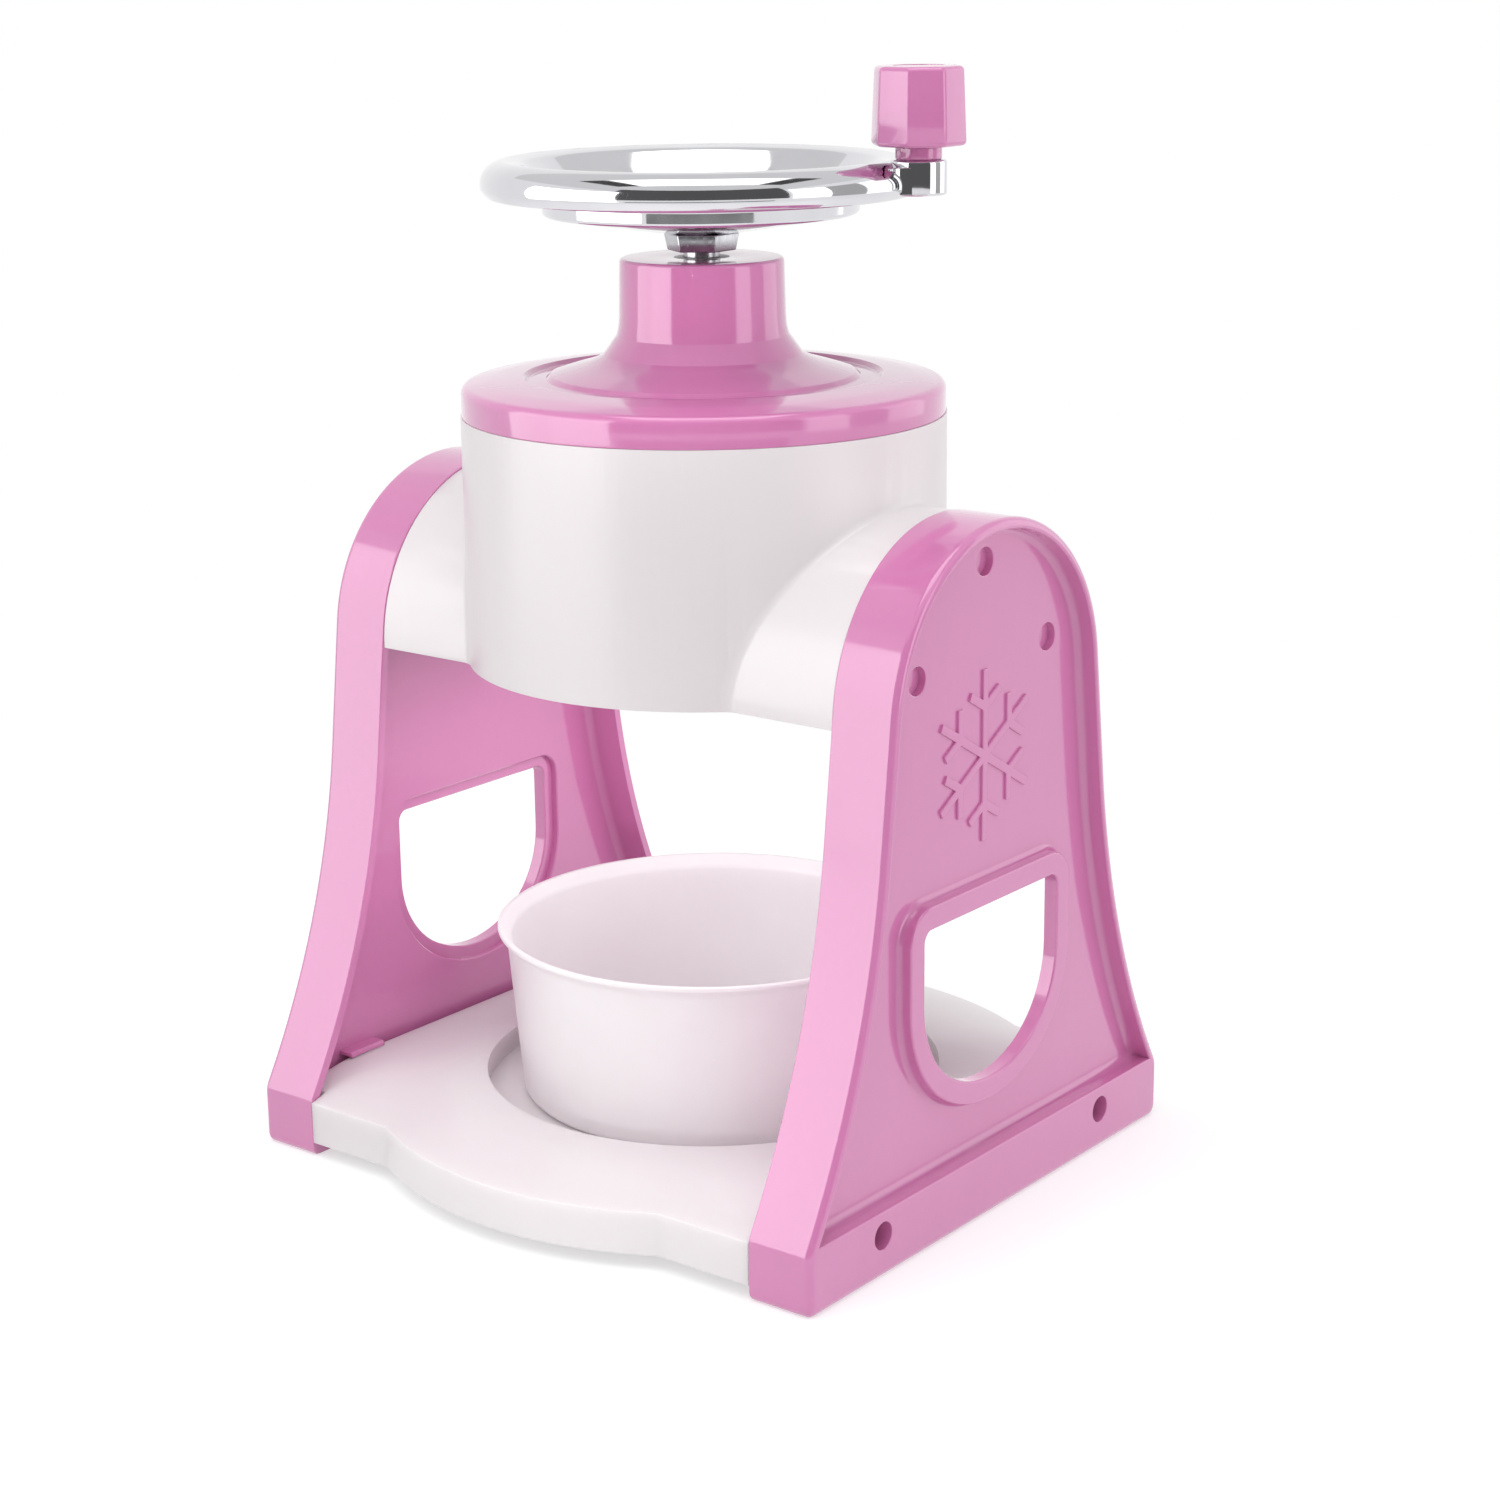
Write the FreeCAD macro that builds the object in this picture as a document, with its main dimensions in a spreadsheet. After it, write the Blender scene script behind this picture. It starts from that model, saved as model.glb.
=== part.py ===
import FreeCAD, Part
import math
import operator
import os
import types

import Sketcher
from FreeCAD import Placement, Rotation, Vector

# Hand cranked ice shaver. Millimetres, +Z up, standing on Z = 0, the crank's axis on Z.
# The two side panels face along X, and the bowl slides out towards -Y.

# ---------------------------------------------------------------------------
# Driving sizes
# ---------------------------------------------------------------------------

SIZES = {
    # side panels
    "overall_width": 185.0,
    "rim_depth": 18.5,
    "rim_wall": 2.8,
    "rim_rounding": 0.9,
    "foot_half_depth": 80.2,
    "foot_wall_height": 16.0,
    "arch_radius": 45.8,
    "arch_centre_height": 134.0,
    "waist_slope": 6.8,
    "flare_start_height": 105.0,
    "recess_depth": 5.6,
    "web_thickness": 2.5,
    "ledge_height": 17.3,
    "flange_height": 4.0,
    "foot_face_thickness": 2.5,
    "tab_length": 13.0,
    "tab_start": 46.0,
    "tab_width": 4.6,
    "tab_thickness": 1.3,
    # window in each side panel
    "window_half_width": 30.0,
    "window_top_height": 82.5,
    "window_bottom_height": 36.2,
    "window_corner": 3.0,
    "window_side_radius": 26.0,
    "window_floor_radius": 34.0,
    "border_width": 6.0,
    "border_rise": 3.6,
    "border_thickness": 4.2,
    # raised crystal on each side panel
    "crystal_height": 120.0,
    "crystal_radius": 22.0,
    "crystal_arm_width": 2.3,
    "crystal_branch_length": 7.6,
    "crystal_branch_place": 12.4,
    "crystal_branch_angle": 60.0,
    "crystal_rise": 0.7,
    # screws
    "screw_radius": 1.5,
    "screw_head_radius": 2.9,
    "screw_head_height": 2.2,
    "screw_length": 12.0,
    "screw_seat_thickness": 2.5,
    "screw_hole_radius": 1.7,
    "screw_counterbore_radius": 3.5,
    "screw_boss_wall": 2.0,
    "screw_thread_clearance": 0.02,
    "screw_pilot_boss_radius": 4.0,
    "screw_pilot_reserve": 1.0,
    "upper_screw_top_height": 168.8,
    "upper_screw_side_height": 144.6,
    "upper_screw_side_offset": 28.8,
    "base_screw_height": 11.0,
    "base_screw_offset": 50.2,
    "joint_gap": 0.1,
    # base tray
    "tray_bulge_rise": 12.3,
    "tray_blend_radius": 25.0,
    "tray_top_height": 20.2,
    "tray_edge_height": 15.4,
    "tray_slope_length": 30.5,
    "tray_wall": 2.5,
    "tray_ear_inset": 11.0,
    "tray_ear_setback": 5.2,
    "seat_radius": 61.5,
    "seat_height": 14.0,
    # bowl
    "bowl_height": 47.1,
    "bowl_foot_radius": 51.5,
    "bowl_mouth_radius": 55.2,
    "bowl_lip": 2.3,
    "bowl_lip_height": 2.3,
    "bowl_wall": 1.4,
    "bowl_rounding": 3.0,
    "bowl_lip_top_rounding": 0.9,
    "bowl_lip_bottom_rounding": 0.5,
    "bowl_mouth_rounding": 0.3,
    # ice hopper
    "hopper_radius": 62.5,
    "hopper_wall": 2.5,
    "hopper_top_height": 198.2,
    "hopper_ledge_height": 139.5,
    "hopper_ledge_thickness": 2.5,
    "hopper_ledge_width": 4.0,
    "lug_radius": 5.0,
    "lug_inset": 8.0,
    "arm_inset": 0.4,
    "arm_wall": 3.0,
    "tongue_wall": 2.5,
    "tongue_overlap": 2.5,
    "tongue_clearance": 0.2,
    "tongue_inset": 15.5,
    # shaving plate and blade
    "plate_clearance": 0.1,
    "plate_thickness": 4.0,
    "plate_screw_length": 5.3,
    "plate_pilot_floor": 1.0,
    "slot_front": 7.0,
    "bed_depth": 4.9,
    "bed_front": 1.5,
    "bed_back": 17.0,
    "blade_start": 8.0,
    "blade_end_inset": 8.0,
    "blade_width": 16.0,
    "blade_thickness": 1.2,
    "blade_bevel": 3.6,
    "blade_tilt": 20.0,
    "blade_edge_front": 1.0,
    "blade_edge_rise": 0.6,
    "blade_gap": 0.3,
    "blade_screw_spacing": 24.0,
    "blade_screw_setback": 10.0,
    "blade_screw_length": 5.0,
    "blade_screw_head_height": 1.5,
    # lid
    "lid_inset": 0.3,
    "lid_wall": 2.5,
    "lid_shoulder_height": 205.8,
    "lid_shoulder_rounding": 2.2,
    "groove_outer_radius": 46.0,
    "groove_outer_height": 207.9,
    "groove_inner_radius": 39.0,
    "groove_inner_height": 208.4,
    "groove_depth": 1.3,
    "groove_rounding": 0.5,
    "flare_radius": 28.0,
    "flare_height": 211.4,
    "flare_rounding": 3.0,
    "neck_foot_radius": 25.5,
    "neck_foot_height": 213.2,
    "neck_blend_radius": 22.0,
    "neck_blend_height": 222.0,
    "neck_radius": 21.0,
    "neck_draft": 0.5,
    "neck_top_height": 237.4,
    "neck_rounding": 1.2,
    "neck_roof": 3.0,
    "spigot_depth": 7.0,
    "spigot_wall": 2.4,
    "slide_clearance": 0.08,
    # spindle, its bush and the crank wheel
    "spindle_radius": 4.0,
    "spindle_flats": 6.8,
    "spindle_clearance": 0.05,
    "collar_radius": 4.7,
    "collar_height": 1.6,
    "spindle_thread_length": 14.5,
    "fit_clearance": 0.03,
    "bush_radius": 7.0,
    "bush_flange_radius": 9.5,
    "bush_flange_thickness": 2.5,
    "hub_flats_top": 17.4,
    "hub_flats_bottom": 16.0,
    "hub_thickness": 4.4,
    "wheel_nut_flats": 13.0,
    "wheel_nut_thickness": 5.0,
    "wheel_boss_radius": 10.0,
    "wheel_boss_height": 5.5,
    "wheel_boss_rounding": 1.0,
    "web_rise": 4.9,
    "web_metal": 2.6,
    "web_rounding": 1.5,
    "web_slope": 0.8,
    "dish_rounding": 2.0,
    "dish_edge": 3.0,
    "step_rise_inset": 1.0,
    "step_radius": 40.2,
    "step_height": 9.2,
    "rim_radius": 55.5,
    "rim_bottom": 9.9,
    "rim_widest": 12.0,
    "rim_top": 18.8,
    "rim_top_radius": 49.5,
    "rim_foot_inset": 3.0,
    "rim_foot_rounding": 2.0,
    "rim_curve_share": 1.6,
    "rim_lip": 4.0,
    "rim_lip_drop": 1.2,
    "rim_lip_rounding": 2.5,
    "ear_radius": 7.0,
    "ear_circle": 57.0,
    "ear_bottom": 10.4,
    "ear_top": 19.0,
    "ear_angle": 19.0,
    # knob
    "knob_total_height": 285.0,
    "knob_flats_top": 21.0,
    "knob_flats_bottom": 22.3,
    "knob_edge_rounding": 2.0,
    "knob_running_gap": 0.1,
    "spacer_radius": 5.8,
    "spacer_thickness": 3.2,
    "pin_radius": 3.0,
    "pin_clearance": 0.05,
    "pin_head_clearance": 0.2,
    "pin_head_radius": 4.6,
    "pin_head_height": 2.0,
    "pin_head_depth": 5.5,
    "cap_radius": 6.5,
    "cap_thickness": 1.8,
    # pressing plate, its spring and its stops
    "press_inset": 6.0,
    "press_thickness": 3.0,
    "press_hub_radius": 9.0,
    "press_hub_height": 12.7,
    "press_disc_lift": 2.2,
    "press_clearance": 0.1,
    "press_running_gap": 0.1,
    "spike_radius": 1.8,
    "spike_tip_radius": 0.3,
    "spike_length": 5.0,
    "inner_spike_circle": 22.0,
    "outer_spike_inset": 12.0,
    "spring_radius": 9.0,
    "spring_wire_radius": 0.8,
    "spring_turns": 9.0,
    "spring_seat_gap": 0.1,
    "spring_washer_radius": 11.0,
    "spring_washer_thickness": 1.2,
    "end_washer_radius": 8.0,
    "end_washer_thickness": 1.2,
    "end_washer_height": 147.0,
    "end_screw_radius": 2.0,
    "end_screw_length": 11.0,
    "end_screw_head_radius": 3.9,
    "end_screw_head_height": 2.0,
}

OVERRUN = 1.0  # how far a cut runs past the face that it opens
CLOSE = 1e-4
SPRING_TOLERANCE = 0.03

LUG_COUNT = 3
INNER_SPIKES = 6
OUTER_SPIKES = 12
CRYSTAL_ARMS = 6
HEX_SIDES = 6
KNOB_SIDES = 8
LUG_START_ANGLE = 90.0

X_AXIS, Y_AXIS, Z_AXIS = Vector(1, 0, 0), Vector(0, 1, 0), Vector(0, 0, 1)
PLANES = {
    "XY": Rotation(),
    "YZ": Rotation(Y_AXIS, Z_AXIS, X_AXIS, "ZXY"),
    "XZ": Rotation(X_AXIS, Z_AXIS, -Y_AXIS, "ZXY"),
}
ALONG_X = Rotation(Y_AXIS, 90)

document = FreeCAD.newDocument("ice_shaver")
sheet = document.addObject("Spreadsheet::Sheet", "Sizes")
nodes = []


# ---------------------------------------------------------------------------
# Sizes that remember the sheet expression they come from
# ---------------------------------------------------------------------------

OPERATIONS = {"+": operator.add, "-": operator.sub, "*": operator.mul, "/": operator.truediv}


class Size:
    """A number together with the expression that keeps it tied to the sheet."""

    def __init__(self, value, text):
        self.value = float(value)
        self.text = text

    def __add__(self, other):
        return combine(self, "+", other)

    def __radd__(self, other):
        return combine(other, "+", self)

    def __sub__(self, other):
        return combine(self, "-", other)

    def __rsub__(self, other):
        return combine(other, "-", self)

    def __mul__(self, other):
        return combine(self, "*", other)

    def __rmul__(self, other):
        return combine(other, "*", self)

    def __truediv__(self, other):
        return combine(self, "/", other)

    def __neg__(self):
        return Size(-self.value, f"(0 - {self.text})")


def as_size(number):
    return number if isinstance(number, Size) else Size(number, repr(float(number)))


def combine(left, sign, right):
    left, right = as_size(left), as_size(right)
    return Size(OPERATIONS[sign](left.value, right.value), f"({left.text} {sign} {right.text})")


def root(size):
    return Size(math.sqrt(size.value), f"sqrt({size.text})")


def cosine(angle):
    angle = as_size(angle)
    return Size(math.cos(math.radians(angle.value)), f"cos({angle.text})")


def sine(angle):
    angle = as_size(angle)
    return Size(math.sin(math.radians(angle.value)), f"sin({angle.text})")


def fill_sheet():
    for row, (name, value) in enumerate(SIZES.items(), start=1):
        sheet.set(f"A{row}", name)
        sheet.set(f"B{row}", str(value))
        sheet.setAlias(f"B{row}", name)
    document.recompute()
    return types.SimpleNamespace(**{name: Size(value, f"Sizes.{name}") for name, value in SIZES.items()})


s = fill_sheet()


def bind(thing, name, size):
    """Ties one property of an object to the sheet."""
    thing.setExpression(name, as_size(size).text)


def place(thing, x=0, y=0, z=0, rotation=None):
    thing.Placement = Placement(Vector(0, 0, 0), rotation or Rotation())
    for name, size in zip("xyz", (x, y, z)):
        bind(thing, f"Placement.Base.{name}", size)
    return thing


def add(kind, name):
    thing = document.addObject(kind, name)
    thing.Label = name
    return thing


def node(thing, name):
    """Names a finished piece. The name is also that of its file."""
    thing.Label = name
    nodes.append(thing)
    return thing


# ---------------------------------------------------------------------------
# Sketches
# ---------------------------------------------------------------------------

def corner(across, up, rounding=None, arc=None, bulge=1):
    """A corner of an outline. arc is the radius of the edge that leaves it."""
    return types.SimpleNamespace(across=as_size(across), up=as_size(up), rounding=rounding,
                                 arc=arc, bulge=bulge)


def arc_between(start, end, radius, bulge):
    """The shorter arc between two corners. With bulge 1 its centre is to the left of the way."""
    chord = end - start
    middle = (start + end) / 2
    height = math.sqrt(max(radius ** 2 - (chord.Length / 2) ** 2, 0.0))
    left = Vector(-chord.y, chord.x, 0).normalize()
    centre = middle + left * height * bulge
    first, last = (start, end) if bulge > 0 else (end, start)
    begin = math.atan2(first.y - centre.y, first.x - centre.x)
    finish = math.atan2(last.y - centre.y, last.x - centre.x)
    if finish <= begin:
        finish += 2 * math.pi
    return Part.ArcOfCircle(Part.Circle(centre, Z_AXIS, radius), begin, finish)


def limit(sketch, kind, geometry, point, size):
    """Fixes one coordinate of a point from the sketch's origin."""
    axis = -2 if kind == "DistanceX" else -1
    if size.text == "0.0":
        sketch.addConstraint(Sketcher.Constraint("PointOnObject", geometry, point, axis))
        return
    index = sketch.addConstraint(Sketcher.Constraint(kind, -1, 1, geometry, point, size.value))
    sketch.setExpression(f"Constraints[{index}]", size.text)


def fix_radius(sketch, geometry, radius):
    radius = as_size(radius)
    index = sketch.addConstraint(Sketcher.Constraint("Radius", geometry, radius.value))
    sketch.setExpression(f"Constraints[{index}]", radius.text)


def draw_outline(sketch, corners):
    """A closed outline through the corners, with its rounded corners last."""
    points = [Vector(c.across.value, c.up.value, 0) for c in corners]
    edges, starts, ends = [], [], []
    for index, this in enumerate(corners):
        start, end = points[index], points[(index + 1) % len(points)]
        if this.arc is None:
            edges.append(sketch.addGeometry(Part.LineSegment(start, end), False))
            starts.append(1)
        else:
            curve = arc_between(start, end, as_size(this.arc).value, this.bulge)
            edges.append(sketch.addGeometry(curve, False))
            starts.append(1 if this.bulge > 0 else 2)
        ends.append(3 - starts[-1])
    for index, this in enumerate(corners):
        before = index - 1
        sketch.addConstraint(Sketcher.Constraint("Coincident", edges[before], ends[before],
                                                 edges[index], starts[index]))
        limit(sketch, "DistanceX", edges[index], starts[index], this.across)
        limit(sketch, "DistanceY", edges[index], starts[index], this.up)
        if this.arc is not None:
            fix_radius(sketch, edges[index], this.arc)
    for index, this in enumerate(corners):
        if this.rounding is not None:
            rounding = as_size(this.rounding)
            fillet = sketch.GeometryCount
            sketch.fillet(edges[index], starts[index], rounding.value, True, True)
            fix_radius(sketch, fillet, rounding)
    return sketch


def draw_circle(sketch, radius, across=0, up=0):
    radius, across, up = as_size(radius), as_size(across), as_size(up)
    circle = Part.Circle(Vector(across.value, up.value, 0), Z_AXIS, radius.value)
    geometry = sketch.addGeometry(circle, False)
    fix_radius(sketch, geometry, radius)
    limit(sketch, "DistanceX", geometry, 3, across)
    limit(sketch, "DistanceY", geometry, 3, up)
    return sketch


def regular_corners(sides, flats, rounding=None):
    """The corners of a regular polygon of the given width across its flats."""
    step = 360.0 / sides
    reach = as_size(flats) / (2 * cosine(step / 2))
    angles = [(side + 0.5) * step for side in range(sides)]
    return [corner(reach * cosine(angle), reach * sine(angle), rounding) for angle in angles]


def free_sketch(name, plane, offset=0):
    """A sketch on a plane of its own, for the extruded pieces."""
    sketch = add("Sketcher::SketchObject", name)
    axis = {"XY": "z", "YZ": "x", "XZ": "y"}[plane]
    place(sketch, rotation=PLANES[plane], **{axis: offset})
    return sketch


# ---------------------------------------------------------------------------
# Solids from sketches and primitives
# ---------------------------------------------------------------------------

def body_sketch(body, plane="XZ", offset=0):
    sketch = body.newObject("Sketcher::SketchObject", f"{body.Name}_outline")
    support = next(o for o in body.Origin.OriginFeatures if o.Role == f"{plane}_Plane")
    sketch.AttachmentSupport = [(support, "")]
    sketch.MapMode = "FlatFace"
    bind(sketch, "AttachmentOffset.Base.z", offset)
    return sketch


def revolve(name, corners):
    """A body turned about Z from a half section, with radius across and height up."""
    body = add("PartDesign::Body", name)
    sketch = draw_outline(body_sketch(body), corners)
    turned = body.newObject("PartDesign::Revolution", f"{name}_turned")
    turned.Profile = sketch
    turned.ReferenceAxis = (sketch, ["V_Axis"])
    turned.Angle = 360
    return body


def extrude(name, sketch, length, direction):
    """A closed outline drawn out along one axis, through a bound length."""
    solid = add("Part::Extrusion", name)
    solid.Base = sketch
    solid.DirMode = "Custom"
    solid.Dir = direction
    solid.Solid = True
    bind(solid, "LengthFwd", length)
    return solid


def cylinder(name, radius, height, x=0, y=0, z=0, rotation=None):
    solid = add("Part::Cylinder", name)
    bind(solid, "Radius", radius)
    bind(solid, "Height", height)
    return place(solid, x, y, z, rotation)


def box(name, low, high):
    solid = add("Part::Box", name)
    low, high = [as_size(v) for v in low], [as_size(v) for v in high]
    for side, first, last in zip(("Length", "Width", "Height"), low, high):
        bind(solid, side, last - first)
    return place(solid, *low)


def fuse(name, shapes):
    whole = add("Part::MultiFuse", name)
    whole.Shapes = shapes
    whole.Refine = True
    return whole


def cut(name, base, tools):
    """The base without its tools, which are joined first where there are several."""
    tool = tools[0] if len(tools) == 1 else fuse(f"{name}_tools", tools)
    rest = add("Part::Cut", name)
    rest.Base = base
    rest.Tool = tool
    rest.Refine = True
    return rest


def common(name, first, second):
    shared = add("Part::Common", name)
    shared.Base = first
    shared.Tool = second
    return shared


def group(name, shapes):
    """Like pieces that share one node, each a solid of its own."""
    several = add("Part::Compound", name)
    several.Links = shapes
    return several


def mirrored(name, source):
    """The same piece on the other side of the plane X = 0."""
    other = add("Part::Mirroring", name)
    other.Source = source
    other.Normal = X_AXIS
    other.Base = Vector(0, 0, 0)
    return other


def round_edges(name, base, radius, wanted):
    """Rounds the edges of the base that the test picks."""
    document.recompute()
    rounded = add("Part::Fillet", name)
    rounded.Base = base
    rounded.Edges = [(index, radius.value, radius.value)
                     for index, edge in enumerate(base.Shape.Edges, start=1) if wanted(edge)]
    return rounded


# ---------------------------------------------------------------------------
# Places that several pieces share
# ---------------------------------------------------------------------------

half_width = s.overall_width / 2
hopper_inner = s.hopper_radius - s.hopper_wall
tongue_end = half_width - s.tongue_inset
tray_ear_end = half_width - s.tray_ear_inset
tray_ear_half_depth = s.foot_half_depth - s.tray_ear_setback
tray_bulge_radius = s.foot_half_depth + s.tray_bulge_rise
lug_circle = hopper_inner - s.lug_inset
blade_length = hopper_inner - s.blade_start - s.blade_end_inset
lid_radius = s.hopper_radius - s.lid_inset
press_radius = hopper_inner - s.press_inset
outer_spike_circle = press_radius - s.outer_spike_inset
rim_inner = half_width - s.rim_depth
recess_floor = half_width - s.recess_depth
web_inner = recess_floor - s.web_thickness
screw_boss_radius = s.screw_counterbore_radius + s.screw_boss_wall
pilot_radius = s.screw_radius + s.screw_thread_clearance
arm_radius = s.arch_radius - s.arm_inset
tongue_radius = s.arch_radius - s.rim_wall - s.tongue_clearance
plate_radius = hopper_inner - s.plate_clearance
plate_top = s.hopper_ledge_height + s.plate_thickness
lug_underside = s.hopper_ledge_height - s.hopper_ledge_thickness
bowl_rim_height = s.seat_height + s.bowl_height
upper_screw_places = [
    (as_size(0), s.upper_screw_top_height),
    (s.upper_screw_side_offset, s.upper_screw_side_height),
    (-s.upper_screw_side_offset, s.upper_screw_side_height),
]
base_screw_places = [
    (s.base_screw_offset, s.base_screw_height),
    (-s.base_screw_offset, s.base_screw_height),
]
upper_screw_seat = tongue_end + s.joint_gap + s.screw_seat_thickness
base_screw_seat = tray_ear_end + s.joint_gap + s.screw_seat_thickness
lug_angles = [LUG_START_ANGLE + index * 360.0 / LUG_COUNT for index in range(LUG_COUNT)]
lug_places = [(lug_circle * cosine(angle), lug_circle * sine(angle)) for angle in lug_angles]

collar_top = s.neck_top_height + s.press_running_gap + s.collar_height
wheel_base = collar_top + s.hub_thickness
wheel_boss_top = wheel_base + s.wheel_boss_height
ear_x = s.ear_circle * cosine(s.ear_angle)
ear_y = s.ear_circle * sine(s.ear_angle)
ear_bottom_height = wheel_base + s.ear_bottom
ear_top_height = wheel_base + s.ear_top
knob_bottom = ear_top_height + s.spacer_thickness + s.knob_running_gap
pin_head_bottom = s.knob_total_height - s.pin_head_depth

end_washer_top = s.end_washer_height + s.end_washer_thickness
press_bottom = end_washer_top + s.press_running_gap
press_top = press_bottom + s.press_hub_height
disc_bottom = press_bottom + s.press_disc_lift
bush_flange_bottom = s.neck_top_height - s.neck_roof - s.bush_flange_thickness
spring_top = bush_flange_bottom - s.spring_washer_thickness - s.press_running_gap


# ---------------------------------------------------------------------------
# Side panels
# ---------------------------------------------------------------------------

def panel_outline():
    """An arch on a sloping waist that flares out, tangent all the way, to an upright foot."""
    slope = math.radians(s.waist_slope.value)
    top = s.arch_centre_height.value
    radius = s.arch_radius.value
    reach = Vector(math.cos(slope), math.sin(slope), 0)
    shoulder = Vector(0, top, 0) + reach * radius
    waist = Vector(shoulder.x + (shoulder.y - s.flare_start_height.value) * math.tan(slope),
                   s.flare_start_height.value, 0)
    foot = Vector(s.foot_half_depth.value, s.foot_wall_height.value, 0)
    across = foot - waist
    flare = across.Length ** 2 / (2 * reach.dot(across))
    sketch = free_sketch("panel_outline", "YZ", rim_inner)

    def flip(point):
        return Vector(-point.x, point.y, 0)

    def floor_point(point):
        return Vector(point.x, 0, 0)

    arch = sketch.addGeometry(arc_between(shoulder, flip(shoulder), radius, 1), False)
    right_waist = sketch.addGeometry(Part.LineSegment(waist, shoulder), False)
    left_waist = sketch.addGeometry(Part.LineSegment(flip(shoulder), flip(waist)), False)
    right_flare = sketch.addGeometry(arc_between(foot, waist, flare, -1), False)
    left_flare = sketch.addGeometry(arc_between(flip(waist), flip(foot), flare, -1), False)
    right_foot = sketch.addGeometry(Part.LineSegment(floor_point(foot), foot), False)
    left_foot = sketch.addGeometry(Part.LineSegment(flip(foot), floor_point(flip(foot))), False)
    floor = sketch.addGeometry(Part.LineSegment(floor_point(flip(foot)), floor_point(foot)), False)
    rules = [
        ("Tangent", right_waist, 2, arch, 1), ("Tangent", left_waist, 1, arch, 2),
        ("Tangent", right_flare, 1, right_waist, 1), ("Tangent", left_flare, 2, left_waist, 2),
        ("Coincident", right_flare, 2, right_foot, 2), ("Coincident", left_flare, 1, left_foot, 1),
        ("Coincident", right_foot, 1, floor, 2), ("Coincident", left_foot, 2, floor, 1),
        ("Vertical", right_foot), ("Vertical", left_foot), ("PointOnObject", arch, 3, -2),
    ]
    for rule in rules:
        sketch.addConstraint(Sketcher.Constraint(*rule))
    limit(sketch, "DistanceY", arch, 3, s.arch_centre_height)
    fix_radius(sketch, arch, s.arch_radius)
    for line, point in ((right_waist, 1), (left_waist, 2)):
        limit(sketch, "DistanceY", line, point, s.flare_start_height)
    for line, point, side in ((right_foot, 2, 1), (left_foot, 1, -1)):
        limit(sketch, "DistanceX", line, point, s.foot_half_depth * side)
        limit(sketch, "DistanceY", line, point, s.foot_wall_height)
    limit(sketch, "DistanceY", floor, 1, as_size(0))
    sketch.addConstraint(Sketcher.Constraint("Horizontal", floor))
    for line, point, side in ((right_waist, 1, 1), (left_waist, 2, -1)):
        angle = as_size(90) + s.waist_slope * side
        index = sketch.addConstraint(Sketcher.Constraint("Angle", -1, 1, line, point,
                                                         math.radians(angle.value)))
        sketch.setExpression(f"Constraints[{index}]", f"{angle.text} * 1 deg")
    return sketch


def inset_tool(name, outline, inset, start, end, bottom):
    """The panel's outline drawn in by a wall, between two places on X and above one height."""
    inner = add("Part::Offset2D", f"{name}_inset")
    inner.Source = outline
    inner.Join = "Intersection"
    bind(inner, "Value", -inset)
    solid = extrude(f"{name}_run", inner, end - start, X_AXIS)
    place(solid, x=start - rim_inner)
    crown = s.arch_centre_height + s.arch_radius
    above = box(f"{name}_above", (start, -s.foot_half_depth, bottom), (end, s.foot_half_depth, crown))
    return common(name, solid, above)


def window_corners(grow):
    """The window, flat on top and basket shaped below, grown by a margin all round."""
    half = s.window_half_width + grow
    side = s.window_side_radius + grow
    floor = s.window_floor_radius + grow
    centre = s.window_bottom_height + s.window_floor_radius
    inner = s.window_half_width - s.window_side_radius
    between = s.window_floor_radius - s.window_side_radius
    side_centre = centre - root(between * between - inner * inner)
    meet_across = floor * inner / between
    meet_up = centre - floor * (centre - side_centre) / between
    top = s.window_top_height + grow
    return [
        corner(half, side_centre),
        corner(half, top, rounding=s.window_corner + grow),
        corner(-half, top, rounding=s.window_corner + grow),
        corner(-half, side_centre, arc=side),
        corner(-meet_across, meet_up, arc=floor),
        corner(meet_across, meet_up, arc=side),
    ]


def window_tool(name, grow, start, end):
    sketch = draw_outline(free_sketch(f"{name}_outline", "YZ", start), window_corners(grow))
    return extrude(name, sketch, end - start, X_AXIS)


def crystal():
    """A plain six-armed snow crystal that stands a little proud of the recess floor."""
    bars = []
    for arm in range(CRYSTAL_ARMS):
        turn = arm * 360.0 / CRYSTAL_ARMS
        heading = Rotation(X_AXIS, turn)
        bars.append(crystal_bar(f"crystal_arm_{arm}", turn, as_size(0), s.crystal_radius, heading))
        for side in (-1, 1):
            lean = Rotation(X_AXIS, turn + side * s.crystal_branch_angle.value)
            name = f"crystal_branch_{arm}_{side + 1}"
            bars.append(crystal_bar(name, turn, s.crystal_branch_place,
                                    s.crystal_branch_length, lean))
    return bars


def crystal_bar(name, turn, along, length, heading):
    """One bar of the crystal. It starts at a distance along its arm and leaves it at a heading."""
    bar = add("Part::Box", name)
    bind(bar, "Length", s.crystal_rise + s.web_thickness / 2)
    bind(bar, "Width", s.crystal_arm_width)
    bind(bar, "Height", length)
    half = s.crystal_arm_width / 2
    tilt = heading.Angle if heading.Axis.x > 0 else -heading.Angle
    lean = as_size(math.degrees(tilt))
    place(bar, recess_floor - s.web_thickness / 2,
          -along * sine(turn) - half * cosine(lean),
          s.crystal_height + along * cosine(turn) - half * sine(lean), heading)
    return bar


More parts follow.
